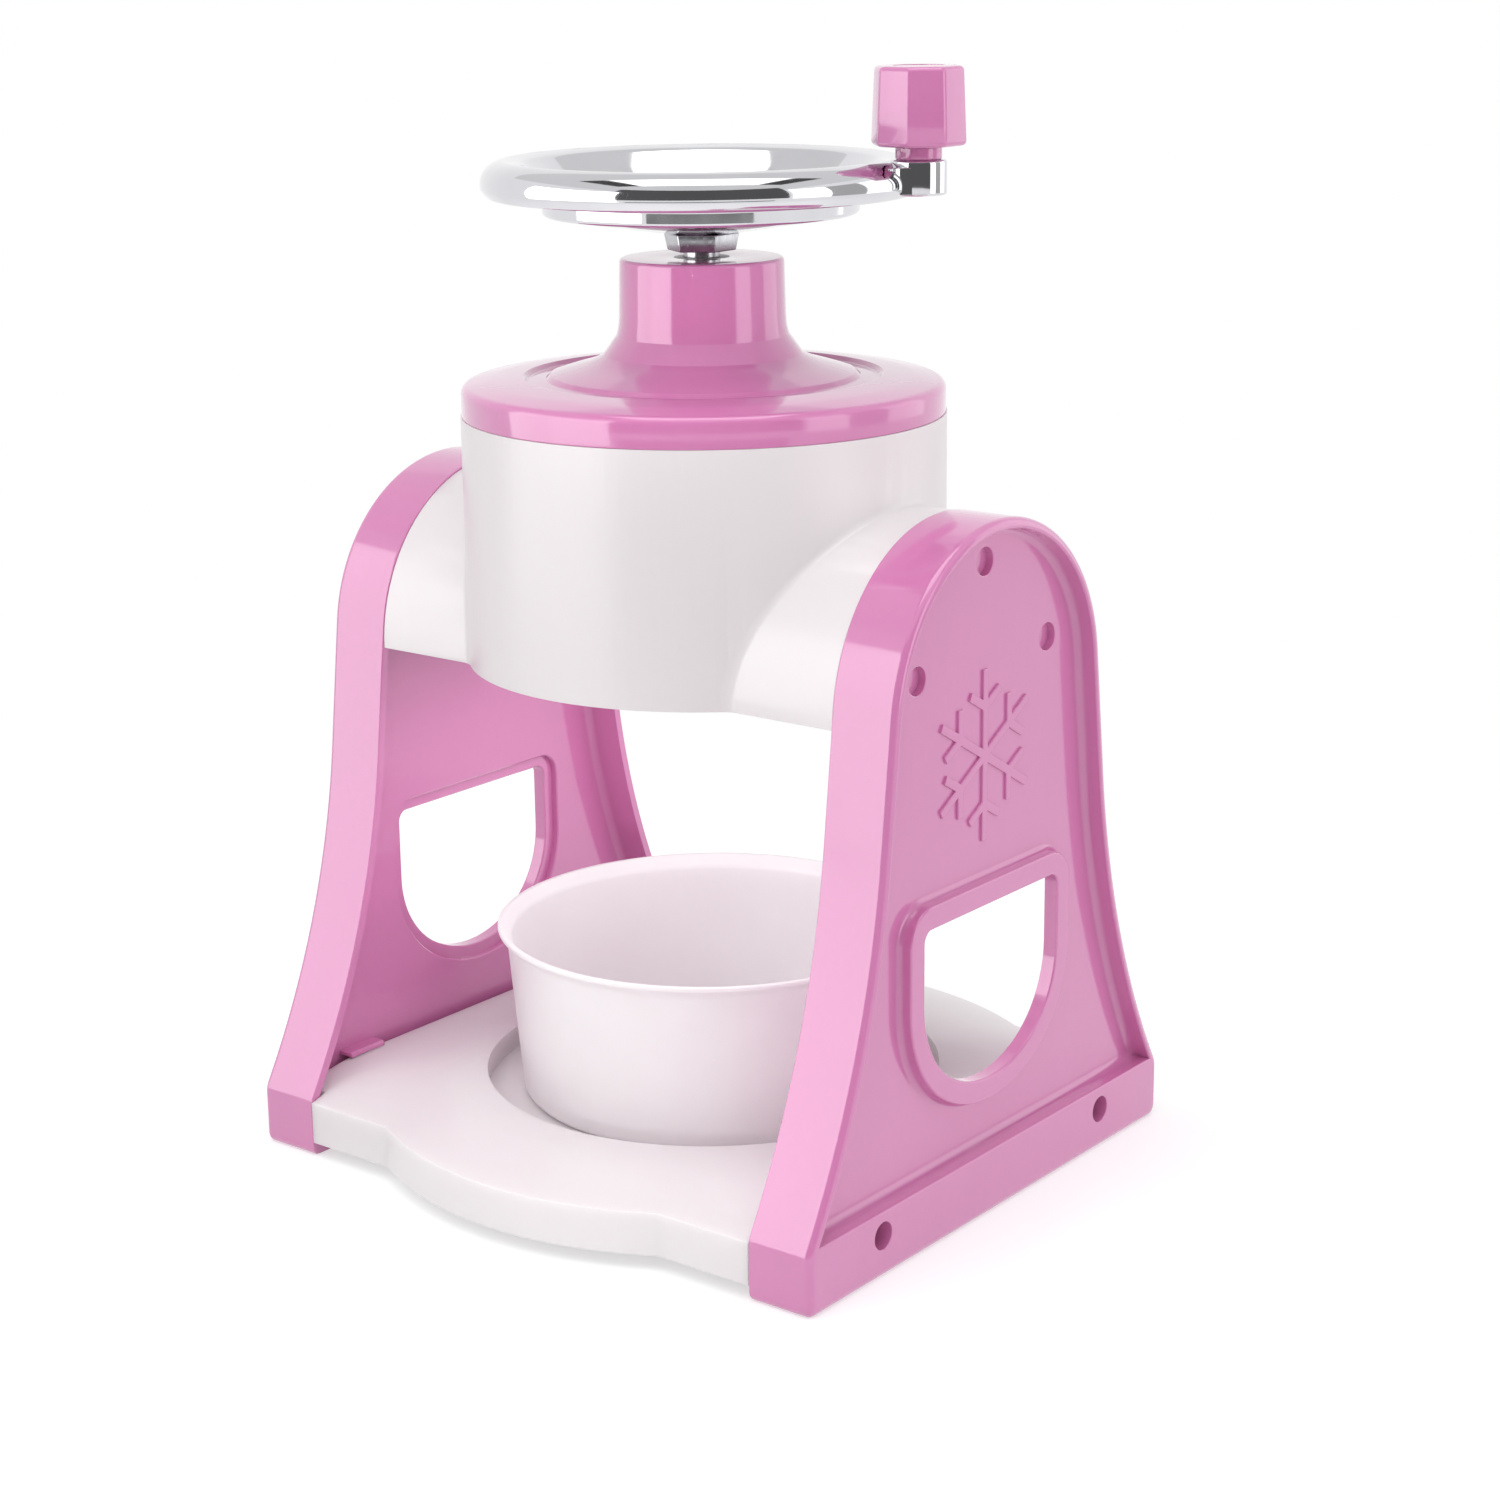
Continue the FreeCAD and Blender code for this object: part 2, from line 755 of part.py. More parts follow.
def side_panels():
    outline = panel_outline()
    whole = extrude("panel_whole", outline, s.rim_depth, X_AXIS)
    recess = inset_tool("panel_recess", outline, s.rim_wall, recess_floor, half_width + OVERRUN,
                        s.ledge_height)
    hollow = inset_tool("panel_hollow", outline, s.rim_wall, rim_inner - OVERRUN, web_inner,
                        s.flange_height)
    foot_hollow = box("foot_hollow",
                      (rim_inner, s.rim_wall - s.foot_half_depth, s.flange_height),
                      (half_width - s.foot_face_thickness, s.foot_half_depth - s.rim_wall,
                       s.ledge_height - s.web_thickness))
    shell = cut("panel_shell", whole, [recess, hollow, foot_hollow])

    additions = [window_tool("window_border", s.border_width, web_inner,
                             recess_floor + s.border_rise)]
    for index, (y, z) in enumerate(upper_screw_places):
        start = tongue_end + s.joint_gap
        additions.append(cylinder(f"upper_boss_{index}", screw_boss_radius,
                                  recess_floor - start, start, y, z, ALONG_X))
    for index, (y, z) in enumerate(base_screw_places):
        start = tray_ear_end + s.joint_gap
        additions.append(cylinder(f"base_boss_{index}", screw_boss_radius,
                                  half_width - s.foot_face_thickness - start, start, y, z, ALONG_X))
    additions.append(box("locating_tab",
                         (web_inner - s.tab_width, -s.tab_start - s.tab_length,
                          s.tray_top_height + s.joint_gap),
                         (web_inner, -s.tab_start,
                          s.tray_top_height + s.joint_gap + s.tab_thickness)))
    built = fuse("panel_built", [shell] + additions + crystal())

    openings = [
        window_tool("window_hole", as_size(0), rim_inner, half_width + OVERRUN),
        window_tool("window_back", s.border_width - s.web_thickness, rim_inner,
                    recess_floor + s.border_rise - s.border_thickness),
    ]
    for kind, places, seat in (("upper", upper_screw_places, upper_screw_seat),
                               ("base", base_screw_places, base_screw_seat)):
        for index, (y, z) in enumerate(places):
            openings.append(cylinder(f"{kind}_hole_{index}", s.screw_hole_radius,
                                     s.rim_depth + OVERRUN, rim_inner, y, z, ALONG_X))
            openings.append(cylinder(f"{kind}_counterbore_{index}", s.screw_counterbore_radius,
                                     half_width + OVERRUN - seat, seat, y, z, ALONG_X))
    pierced = cut("panel_pierced", built, openings)

    def on_rim_face(edge):
        bounds = edge.BoundBox
        return (abs(bounds.XMin - half_width.value) < CLOSE and bounds.XLength < CLOSE
                and bounds.DiagonalLength > 4 * s.screw_counterbore_radius.value)

    panel = round_edges("panel_rounded", pierced, s.rim_rounding, on_rim_face)
    node(panel, "right_side_panel")
    node(mirrored("panel_left", panel), "left_side_panel")


# ---------------------------------------------------------------------------
# Base tray
# ---------------------------------------------------------------------------

def tray_plan(inset):
    """Straight front and back edges with a round bulge between, and ears inside the panels."""
    straight = s.foot_half_depth - inset
    bulge = tray_bulge_radius - inset
    blend = s.tray_blend_radius + inset
    to_centre = bulge + blend
    blend_across = root(to_centre * to_centre - (straight + blend) * (straight + blend))
    meet_across = blend_across * bulge / to_centre
    meet_up = (straight + blend) * bulge / to_centre
    neck = rim_inner - s.joint_gap - inset
    ear = tray_ear_end - inset
    ear_depth = tray_ear_half_depth - inset
    quarter = [
        (ear, ear_depth, None, 1), (neck, ear_depth, None, 1), (neck, straight, None, 1),
        (blend_across, straight, blend, -1), (meet_across, meet_up, bulge, 1),
    ]
    corners = [corner(x, y, arc=arc, bulge=turn) for x, y, arc, turn in quarter]
    back = [(-meet_across, meet_up, blend, -1), (-blend_across, straight, None, 1),
            (-neck, straight, None, 1), (-neck, ear_depth, None, 1), (-ear, ear_depth, None, 1)]
    corners += [corner(x, y, arc=arc, bulge=turn) for x, y, arc, turn in back]
    return corners + [corner(-c.across, -c.up, arc=c.arc, bulge=c.bulge) for c in corners]


def tray_block(name, inset, bottom, top):
    """The tray's plan under its crowned top, which falls away to the edges."""
    sketch = draw_outline(free_sketch(f"{name}_plan", "XY", bottom), tray_plan(inset))
    block = extrude(f"{name}_block", sketch, top - bottom, Z_AXIS)
    fall = s.tray_top_height - s.tray_edge_height
    run = s.tray_slope_length
    crown_radius = (run * run + fall * fall) / (2 * fall)
    low = top - fall
    flat = tray_bulge_radius - run
    dome = revolve(f"{name}_dome", [
        corner(0, bottom), corner(tray_bulge_radius, bottom),
        corner(tray_bulge_radius, low, arc=crown_radius), corner(flat, top), corner(0, top)])
    edge = s.foot_half_depth
    wing_sketch = draw_outline(free_sketch(f"{name}_wing_section", "YZ", -half_width), [
        corner(-edge, bottom), corner(edge, bottom),
        corner(edge, low, arc=crown_radius), corner(edge - run, top),
        corner(run - edge, top, arc=crown_radius), corner(-edge, low)])
    wings = extrude(f"{name}_wings", wing_sketch, s.overall_width, X_AXIS)
    return common(name, block, fuse(f"{name}_roof", [dome, wings]))


def base_tray():
    outer = tray_block("tray_outer", as_size(0), s.flange_height, s.tray_top_height)
    inside = tray_block("tray_inside", s.tray_wall, s.flange_height - OVERRUN,
                        s.tray_top_height - s.tray_wall)
    shell = cut("tray_shell", outer, [inside])
    seat_underside = s.seat_height - s.tray_wall
    additions = [cylinder("seat_block", s.seat_radius + s.tray_wall,
                          s.tray_top_height - s.tray_wall - seat_underside, z=seat_underside)]
    pilots = []
    boss_length = s.screw_length + s.screw_pilot_reserve
    for side in (-1, 1):
        for index, (y, z) in enumerate(base_screw_places):
            inner = tray_ear_end - boss_length
            start = inner if side > 0 else -tray_ear_end
            name = f"tray_boss_{side + 1}_{index}"
            additions.append(cylinder(name, s.screw_pilot_boss_radius, boss_length,
                                      start, y, z, ALONG_X))
            drill = tray_ear_end - boss_length + OVERRUN
            start = drill if side > 0 else -tray_ear_end - OVERRUN
            pilots.append(cylinder(f"tray_pilot_{side + 1}_{index}", pilot_radius,
                                   boss_length, start, y, z, ALONG_X))
    built = fuse("tray_built", [shell] + additions)
    seat = cylinder("seat_recess", s.seat_radius, s.tray_top_height - s.seat_height + OVERRUN,
                    z=s.seat_height)
    node(cut("tray_pierced", built, [seat] + pilots), "base_tray")


# ---------------------------------------------------------------------------
# Ice hopper
# ---------------------------------------------------------------------------

def arch_round(name, radius, reach, below=0):
    """A half round bar right across the hopper. below carries its sides under the arch's centre."""
    centre = s.arch_centre_height
    corners = [corner(radius, centre, arc=radius), corner(0, centre + radius, arc=radius),
               corner(-radius, centre)]
    if below:
        corners += [corner(-radius, centre - below), corner(radius, centre - below)]
    sketch = draw_outline(free_sketch(f"{name}_outline", "YZ", -reach), corners)
    return extrude(name, sketch, 2 * reach, X_AXIS)


def hopper():
    bottom = s.arch_centre_height
    ledge_inner = hopper_inner - s.hopper_ledge_width
    can = revolve("hopper_can", [
        corner(hopper_inner, bottom), corner(s.hopper_radius, bottom),
        corner(s.hopper_radius, s.hopper_top_height), corner(hopper_inner, s.hopper_top_height),
        corner(hopper_inner, s.hopper_ledge_height), corner(ledge_inner, s.hopper_ledge_height),
        corner(ledge_inner, lug_underside), corner(hopper_inner, lug_underside)])
    lugs = [cylinder(f"lug_{index}", s.lug_radius, s.hopper_ledge_thickness, x, y, lug_underside)
            for index, (x, y) in enumerate(lug_places)]
    lug_holes = [cylinder(f"lug_hole_{index}", s.screw_hole_radius, s.hopper_ledge_thickness + 2 * OVERRUN,
                          x, y, lug_underside - OVERRUN) for index, (x, y) in enumerate(lug_places)]
    can_space = cylinder("can_space", (s.hopper_radius + hopper_inner) / 2,
                         s.hopper_top_height - bottom + 2 * OVERRUN, z=bottom - OVERRUN)
    arm_end = rim_inner - s.joint_gap
    arms = arch_round("arm", arm_radius, arm_end)
    arms_inside = arch_round("arm_inside", arm_radius - s.arm_wall, arm_end + OVERRUN, below=OVERRUN)
    tongues = arch_round("tongue", tongue_radius, tongue_end)
    tongues_inside = arch_round("tongue_inside", tongue_radius - s.tongue_wall,
                                tongue_end - s.tongue_wall, below=OVERRUN)
    between_tongues = arch_round("between_tongues", arm_radius, rim_inner - s.tongue_overlap,
                                 below=OVERRUN)
    bosses, pilots = [], []
    boss_length = s.screw_length + s.screw_pilot_reserve
    for side in (-1, 1):
        for index, (y, z) in enumerate(upper_screw_places):
            start = tongue_end - boss_length if side > 0 else -tongue_end
            bosses.append(cylinder(f"arm_boss_{side + 1}_{index}", s.screw_pilot_boss_radius,
                                   boss_length, start, y, z, ALONG_X))
            drill = tongue_end - boss_length + OVERRUN if side > 0 else -tongue_end - OVERRUN
            pilots.append(cylinder(f"arm_pilot_{side + 1}_{index}", pilot_radius, boss_length,
                                   drill, y, z, ALONG_X))
    tongue_shell = cut("tongue_shell", tongues, [tongues_inside, between_tongues])
    shells = fuse("arm_shells", [cut("arm_shell", arms, [arms_inside]), tongue_shell] + bosses)
    outside = cut("arms_outside", shells, [can_space])
    whole = fuse("hopper_whole", [can, outside] + lugs)
    node(cut("hopper_pierced", whole, pilots + lug_holes), "ice_hopper")


# ---------------------------------------------------------------------------
# Shaving plate and blade
# ---------------------------------------------------------------------------

def blade_point(along, deep=0):
    """A place in the blade's cross section, from its edge back along its tilted face."""
    edge_y, edge_z = -s.blade_edge_front, plate_top + s.blade_edge_rise
    return (edge_y + along * cosine(s.blade_tilt) - deep * sine(s.blade_tilt),
            edge_z - along * sine(s.blade_tilt) - deep * cosine(s.blade_tilt))


def run_along_x(name, corners, start, length):
    sketch = draw_outline(free_sketch(f"{name}_section", "YZ", start), corners)
    return extrude(name, sketch, length, X_AXIS)


def shaving_plate_and_blade():
    thick = s.blade_thickness
    blade = run_along_x("blade", [
        corner(*blade_point(0)), corner(*blade_point(s.blade_bevel, thick)),
        corner(*blade_point(s.blade_width, thick)), corner(*blade_point(s.blade_width))],
        s.blade_start, blade_length)
    slope = sine(s.blade_tilt) / cosine(s.blade_tilt)
    under_y, under_z = blade_point(s.blade_width, thick + s.fit_clearance)
    back_y = blade_point(s.blade_width)[0] + s.blade_gap
    back_z = under_z - (back_y - under_y) * slope
    bed_z = under_z + (under_y - s.bed_front) * slope
    under = s.hopper_ledge_height - s.bed_depth
    over = plate_top + OVERRUN
    pocket = run_along_x("blade_pocket", [
        corner(-s.slot_front, under - OVERRUN), corner(s.bed_front, under - OVERRUN),
        corner(s.bed_front, bed_z), corner(back_y, back_z), corner(back_y, over),
        corner(-s.slot_front, over)],
        s.blade_start - s.blade_gap, blade_length + 2 * s.blade_gap)
    disc = cylinder("plate_disc", plate_radius, s.plate_thickness, z=s.hopper_ledge_height)
    bed = box("blade_bed", (s.blade_start - s.blade_gap, s.bed_front, under),
              (s.blade_start + blade_length + s.blade_gap, s.bed_back, s.hopper_ledge_height))
    screw_y, screw_z = blade_point(s.blade_screw_setback)
    tilt = Rotation(X_AXIS, -s.blade_tilt.value)
    middle = s.blade_start + blade_length / 2
    holes, blade_holes, screws = [], [], []
    for index, side in enumerate((-1, 1)):
        x = middle + side * s.blade_screw_spacing / 2
        tip_y, tip_z = blade_point(s.blade_screw_setback, s.blade_screw_length + thick)
        holes.append(cylinder(f"bed_pilot_{index}", pilot_radius, s.blade_screw_length + thick,
                              x, tip_y, tip_z, tilt))
        blade_holes.append(cylinder(f"blade_hole_{index}", s.screw_hole_radius, 3 * thick,
                                    x, *blade_point(s.blade_screw_setback, 2 * thick), tilt))
        tip_y, tip_z = blade_point(s.blade_screw_setback, s.blade_screw_length)
        shank = cylinder(f"blade_shank_{index}", s.screw_radius, s.blade_screw_length,
                         x, tip_y, tip_z, tilt)
        head = cylinder(f"blade_head_{index}", s.screw_head_radius, s.blade_screw_head_height,
                        x, screw_y, screw_z, tilt)
        screws.append(fuse(f"blade_screw_{index}", [shank, head]))
    for index, (x, y) in enumerate(lug_places):
        holes.append(cylinder(f"plate_pilot_{index}", pilot_radius, s.plate_thickness - s.plate_pilot_floor,
                              x, y, s.hopper_ledge_height))
    plate = cut("plate_pierced", fuse("plate_whole", [disc, bed]), [pocket] + holes)
    node(plate, "shaving_plate")
    node(cut("blade_pierced", blade, blade_holes), "shaving_blade")
    node(group("blade_screw_set", screws), "blade_screws")


# ---------------------------------------------------------------------------
# Screws
# ---------------------------------------------------------------------------

def screw_along_x(name, side, seat, y, z):
    """A pan head screw that points inwards from its seat on one side of the object."""
    length, head = s.screw_length, s.screw_head_height
    start = seat - length if side > 0 else -seat
    shank = cylinder(f"{name}_shank", s.screw_radius, length, start, y, z, ALONG_X)
    start = seat if side > 0 else -seat - head
    return fuse(name, [shank, cylinder(f"{name}_head", s.screw_head_radius, head,
                                       start, y, z, ALONG_X)])


def screws():
    for side, side_name in ((1, "right"), (-1, "left")):
        for kind, places, seat in (("upper", upper_screw_places, upper_screw_seat),
                                   ("base", base_screw_places, base_screw_seat)):
            name = f"{side_name}_{kind}_screws"
            pieces = [screw_along_x(f"{name}_{index}", side, seat, y, z)
                      for index, (y, z) in enumerate(places)]
            node(group(f"{name}_set", pieces), name)
    pieces = []
    for index, (x, y) in enumerate(lug_places):
        name = f"plate_screw_{index}"
        shank = cylinder(f"{name}_shank", s.screw_radius, s.plate_screw_length, x, y,
                         lug_underside)
        head = cylinder(f"{name}_head", s.screw_head_radius, s.screw_head_height, x, y,
                        lug_underside - s.screw_head_height)
        pieces.append(fuse(name, [shank, head]))
    node(group("plate_screw_set", pieces), "shaving_plate_screws")


# ---------------------------------------------------------------------------
# Bowl and lid
# ---------------------------------------------------------------------------

def bowl():
    """A tapered cup with a lip round its mouth."""
    foot, mouth, lip = s.bowl_foot_radius, s.bowl_mouth_radius, s.bowl_mouth_radius + s.bowl_lip
    base, rim = s.seat_height, bowl_rim_height
    lip_bottom = rim - s.bowl_lip_height
    wall = s.bowl_wall
    node(revolve("bowl_turned", [
        corner(0, base), corner(foot, base, rounding=s.bowl_rounding), corner(mouth, lip_bottom),
        corner(lip, lip_bottom, rounding=s.bowl_lip_bottom_rounding),
        corner(lip, rim, rounding=s.bowl_lip_top_rounding),
        corner(mouth - wall, rim, rounding=s.bowl_mouth_rounding),
        corner(foot - wall, base + wall, rounding=s.bowl_rounding - wall / 2),
        corner(0, base + wall)]), "bowl")


def lid():
    """A domed lid with a tall neck. Its spigot hangs in the hopper's mouth."""
    wall = s.lid_wall
    skirt = s.hopper_top_height
    spigot_outer = hopper_inner - s.slide_clearance
    spigot_inner = spigot_outer - s.spigot_wall
    roof = s.neck_top_height - s.neck_roof
    groove_floor_out = s.groove_outer_height - s.groove_depth
    groove_floor_in = s.groove_inner_height - s.groove_depth
    node(revolve("lid_turned", [
        corner(spigot_inner, skirt - s.spigot_depth), corner(spigot_outer, skirt - s.spigot_depth),
        corner(spigot_outer, skirt), corner(lid_radius, skirt),
        corner(lid_radius, s.lid_shoulder_height, rounding=s.lid_shoulder_rounding),
        corner(s.groove_outer_radius, s.groove_outer_height, rounding=s.groove_rounding),
        corner(s.groove_outer_radius - s.groove_depth, groove_floor_out),
        corner(s.groove_inner_radius + s.groove_depth, groove_floor_in),
        corner(s.groove_inner_radius, s.groove_inner_height, rounding=s.groove_rounding),
        corner(s.flare_radius, s.flare_height, rounding=s.flare_rounding),
        corner(s.neck_foot_radius, s.neck_foot_height, arc=s.neck_blend_radius, bulge=-1),
        corner(s.neck_radius + s.neck_draft, s.neck_blend_height),
        corner(s.neck_radius, s.neck_top_height, rounding=s.neck_rounding),
        corner(s.bush_radius + s.fit_clearance, s.neck_top_height),
        corner(s.bush_radius + s.fit_clearance, roof),
        corner(s.neck_radius - wall, roof), corner(s.neck_radius - wall, s.neck_blend_height),
        corner(s.neck_foot_radius - wall, s.neck_foot_height - wall / 2),
        corner(s.flare_radius, s.flare_height - wall),
        corner(s.groove_inner_radius - wall, s.groove_inner_height - wall),
        corner(s.groove_inner_radius - wall / 2, groove_floor_in - wall),
        corner(s.groove_outer_radius + wall / 2, groove_floor_out - wall),
        corner(s.groove_outer_radius + wall, s.groove_outer_height - wall),
        corner(spigot_inner, s.lid_shoulder_height - wall)]), "lid")


# ---------------------------------------------------------------------------
# Spindle, bush and crank wheel
# ---------------------------------------------------------------------------

def prism(name, sides, flats, bottom, height):
    sketch = draw_outline(free_sketch(f"{name}_outline", "XY", bottom),
                          regular_corners(sides, flats))
    return extrude(name, sketch, height, Z_AXIS)


def ring(name, outer, inner, bottom, height):
    """A flat ring, such as a washer or a bush."""
    return cut(name, cylinder(f"{name}_disc", outer, height, z=bottom),
               [cylinder(f"{name}_bore", inner, height + 2 * OVERRUN, z=bottom - OVERRUN)])


def tapered_prism(name, sides, flats_bottom, flats_top, bottom, top, rounding=None):
    """A regular block that narrows evenly from one end to the other."""
    body = add("PartDesign::Body", name)
    low, high = [draw_outline(body_sketch(body, "XY", level),
                              regular_corners(sides, flats, rounding))
                 for level, flats in ((bottom, flats_bottom), (top, flats_top))]
    loft = body.newObject("PartDesign::AdditiveLoft", f"{name}_loft")
    loft.Profile = low
    loft.Sections = [high]
    loft.Ruled = True
    return body


def spindle_group():
    running = s.spindle_radius + s.spindle_clearance
    fitted = s.spindle_radius + s.fit_clearance
    bush_length = s.neck_top_height - bush_flange_bottom
    sleeve = cylinder("bush_sleeve", s.bush_radius, bush_length, z=bush_flange_bottom)
    flange = cylinder("bush_flange", s.bush_flange_radius, s.bush_flange_thickness,
                      z=bush_flange_bottom)
    bore = cylinder("bush_bore", running, bush_length + 2 * OVERRUN, z=bush_flange_bottom - OVERRUN)
    node(cut("bush_bored", fuse("bush_whole", [sleeve, flange]), [bore]), "spindle_bush")

    lower = prism("spindle_hex", HEX_SIDES, s.spindle_flats, end_washer_top,
                  spring_top - end_washer_top)
    upper = cylinder("spindle_round", s.spindle_radius,
                     wheel_base + s.spindle_thread_length - spring_top, z=spring_top)
    collar = cylinder("spindle_collar", s.collar_radius, s.collar_height,
                      z=collar_top - s.collar_height)
    thread = cylinder("spindle_end_hole", s.end_screw_radius + s.fit_clearance,
                      s.end_screw_length + OVERRUN, z=end_washer_top)
    node(cut("spindle_drilled", fuse("spindle_whole", [lower, upper, collar]), [thread]),
         "spindle")

    node(ring("spring_washer_ring", s.spring_washer_radius, fitted, spring_top,
              s.spring_washer_thickness), "spring_washer")
    node(ring("end_washer_ring", s.end_washer_radius, s.end_screw_radius + s.fit_clearance,
              s.end_washer_height, s.end_washer_thickness), "end_washer")
    head = cylinder("end_screw_head", s.end_screw_head_radius, s.end_screw_head_height,
                    z=s.end_washer_height - s.end_screw_head_height)
    shank = cylinder("end_screw_shank", s.end_screw_radius,
                     s.end_washer_thickness + s.end_screw_length, z=s.end_washer_height)
    node(fuse("end_screw_whole", [head, shank]), "end_screw")

    block = tapered_prism("hub_block", HEX_SIDES, s.hub_flats_bottom, s.hub_flats_top,
                          collar_top, wheel_base)
    hub_bore = cylinder("hub_bore", fitted, s.hub_thickness + 2 * OVERRUN, z=collar_top - OVERRUN)
    node(cut("hub_bored", block, [hub_bore]), "wheel_hub")
    nut = prism("nut_block", HEX_SIDES, s.wheel_nut_flats, wheel_boss_top, s.wheel_nut_thickness)
    nut_bore = cylinder("nut_bore", fitted, s.wheel_nut_thickness + 2 * OVERRUN,
                        z=wheel_boss_top - OVERRUN)
    node(cut("nut_bored", nut, [nut_bore]), "wheel_nut")


def handwheel():
    """A dished wheel with a rolled rim and an ear that carries the knob's pin."""
    base = wheel_base
    metal = s.web_metal
    bore = s.spindle_radius + s.fit_clearance
    web_outer = s.step_radius - s.step_rise_inset
    turned = revolve("wheel_turned", [
        corner(bore, base), corner(s.hub_flats_top / 2, base),
        corner(web_outer, base + s.web_rise, rounding=s.web_rounding),
        corner(s.step_radius, base + s.step_height),
        corner(s.rim_radius - s.rim_foot_inset, base + s.rim_bottom,
               rounding=s.rim_foot_rounding),
        corner(s.rim_radius, base + s.rim_widest,
               arc=(s.rim_radius - s.rim_top_radius) * s.rim_curve_share),
        corner(s.rim_top_radius, base + s.rim_top),
        corner(s.rim_top_radius - s.rim_lip, base + s.rim_top - s.rim_lip_drop,
               rounding=s.rim_lip_rounding),
        corner(web_outer, base + s.step_height + metal, rounding=s.dish_edge),
        corner(web_outer - s.dish_edge, base + s.web_rise + metal, rounding=s.dish_edge),
        corner(s.wheel_boss_radius + s.dish_rounding, base + metal + s.web_slope,
               rounding=s.dish_rounding),
        corner(s.wheel_boss_radius, base + s.wheel_boss_height,
               rounding=s.wheel_boss_rounding),
        corner(bore, base + s.wheel_boss_height)])
    ear = cylinder("ear_boss", s.ear_radius, ear_top_height - ear_bottom_height, ear_x, ear_y,
                   ear_bottom_height)
    ear_bore = cylinder("ear_bore", s.pin_radius + s.fit_clearance,
                        ear_top_height - ear_bottom_height + 2 * OVERRUN, ear_x, ear_y,
                        ear_bottom_height - OVERRUN)
    node(cut("wheel_bored", fuse("wheel_whole", [turned, ear]), [ear_bore]), "handwheel")


def knob_group():
    """An eight sided knob that spins on a headed pin, with a cap over the pin's head."""
    top = s.knob_total_height
    block = tapered_prism("knob_block", KNOB_SIDES, s.knob_flats_bottom, s.knob_flats_top,
                          knob_bottom, top, s.knob_edge_rounding)
    bore = cylinder("knob_bore", s.pin_radius + s.pin_clearance, top - knob_bottom,
                    z=knob_bottom - OVERRUN)
    cap_bottom = top - s.cap_thickness
    head_room = cylinder("head_room", s.pin_head_radius + s.pin_head_clearance,
                         top - pin_head_bottom + s.knob_running_gap,
                         z=pin_head_bottom - s.knob_running_gap)
    cap_seat = cylinder("cap_seat", s.cap_radius + s.fit_clearance, s.cap_thickness + OVERRUN,
                        z=cap_bottom)
    hollow_knob = cut("knob_bored", block, [bore, head_room, cap_seat])
    node(place(hollow_knob, ear_x, ear_y), "knob")
    node(cylinder("cap_disc", s.cap_radius, s.cap_thickness, ear_x, ear_y, cap_bottom),
         "knob_cap")
    spacer = ring("spacer_ring", s.spacer_radius, s.pin_radius + s.fit_clearance,
                  ear_top_height, s.spacer_thickness)
    node(place(spacer, ear_x, ear_y), "knob_spacer")
    shank = cylinder("pin_shank", s.pin_radius, pin_head_bottom - ear_bottom_height,
                     z=ear_bottom_height)
    head = cylinder("pin_head", s.pin_head_radius, s.pin_head_height, z=pin_head_bottom)
    node(place(fuse("pin_whole", [shank, head]), ear_x, ear_y), "knob_pin")


# ---------------------------------------------------------------------------
# Pressing plate and spring
# ---------------------------------------------------------------------------

def press_group():
    """The spiked plate that holds the ice down and turns it, and the spring above it."""
    disc = cylinder("press_disc", press_radius, s.press_thickness, z=disc_bottom)
    hub = cylinder("press_hub", s.press_hub_radius, s.press_hub_height, z=press_bottom)
    bore = prism("press_bore", HEX_SIDES, s.spindle_flats + 2 * s.press_clearance,
                 press_bottom - OVERRUN, s.press_hub_height + 2 * OVERRUN)
    node(cut("press_bored", fuse("press_whole", [disc, hub]), [bore]), "press_plate")
    spikes = []
    for circle, count in ((s.inner_spike_circle, INNER_SPIKES),
                          (outer_spike_circle, OUTER_SPIKES)):
        for index in range(count):
            angle = (index + 0.5) * 360.0 / count
            spike = add("Part::Cone", f"spike_{count}_{index}")
            bind(spike, "Radius1", s.spike_tip_radius)
            bind(spike, "Radius2", s.spike_radius)
            bind(spike, "Height", s.spike_length)
            place(spike, circle * cosine(angle), circle * sine(angle),
                  disc_bottom - s.spike_length)
            spikes.append(spike)
    node(group("spike_set", spikes), "press_spikes")

    wire = s.spring_wire_radius
    low = press_top + wire + s.spring_seat_gap
    high = spring_top - wire - s.spring_seat_gap
    coil = add("Part::Helix", "spring_coil")
    bind(coil, "Radius", s.spring_radius + wire)
    bind(coil, "Height", high - low)
    bind(coil, "Pitch", (high - low) / s.spring_turns)
    place(coil, z=low)
    section = free_sketch("spring_section", "XZ")
    draw_circle(section, wire, s.spring_radius + wire, low)
    sweep = add("Part::Sweep", "spring_wire")
    sweep.Sections = [section]
    sweep.Spine = (coil, [])
    sweep.Solid = True
    sweep.Frenet = True
    node(sweep, "pressure_spring")


# ---------------------------------------------------------------------------
# Checks and files
# ---------------------------------------------------------------------------

def check_document():
    """Stops if anything failed to build, or if a pocket or a cut took nothing away."""
    for thing in document.Objects:
        if "Invalid" in thing.State or "Error" in thing.State:
            raise RuntimeError(f"{thing.Label} did not build: {thing.State}")
        if thing.TypeId == "Part::Cut" and thing.Shape.Volume > thing.Base.Shape.Volume - CLOSE:
            raise RuntimeError(f"{thing.Label} took nothing away")
    for piece in nodes:
        if piece.Shape.isNull() or not piece.Shape.isValid() or piece.Shape.Volume <= 0:
            raise RuntimeError(f"{piece.Label} has no valid solid")


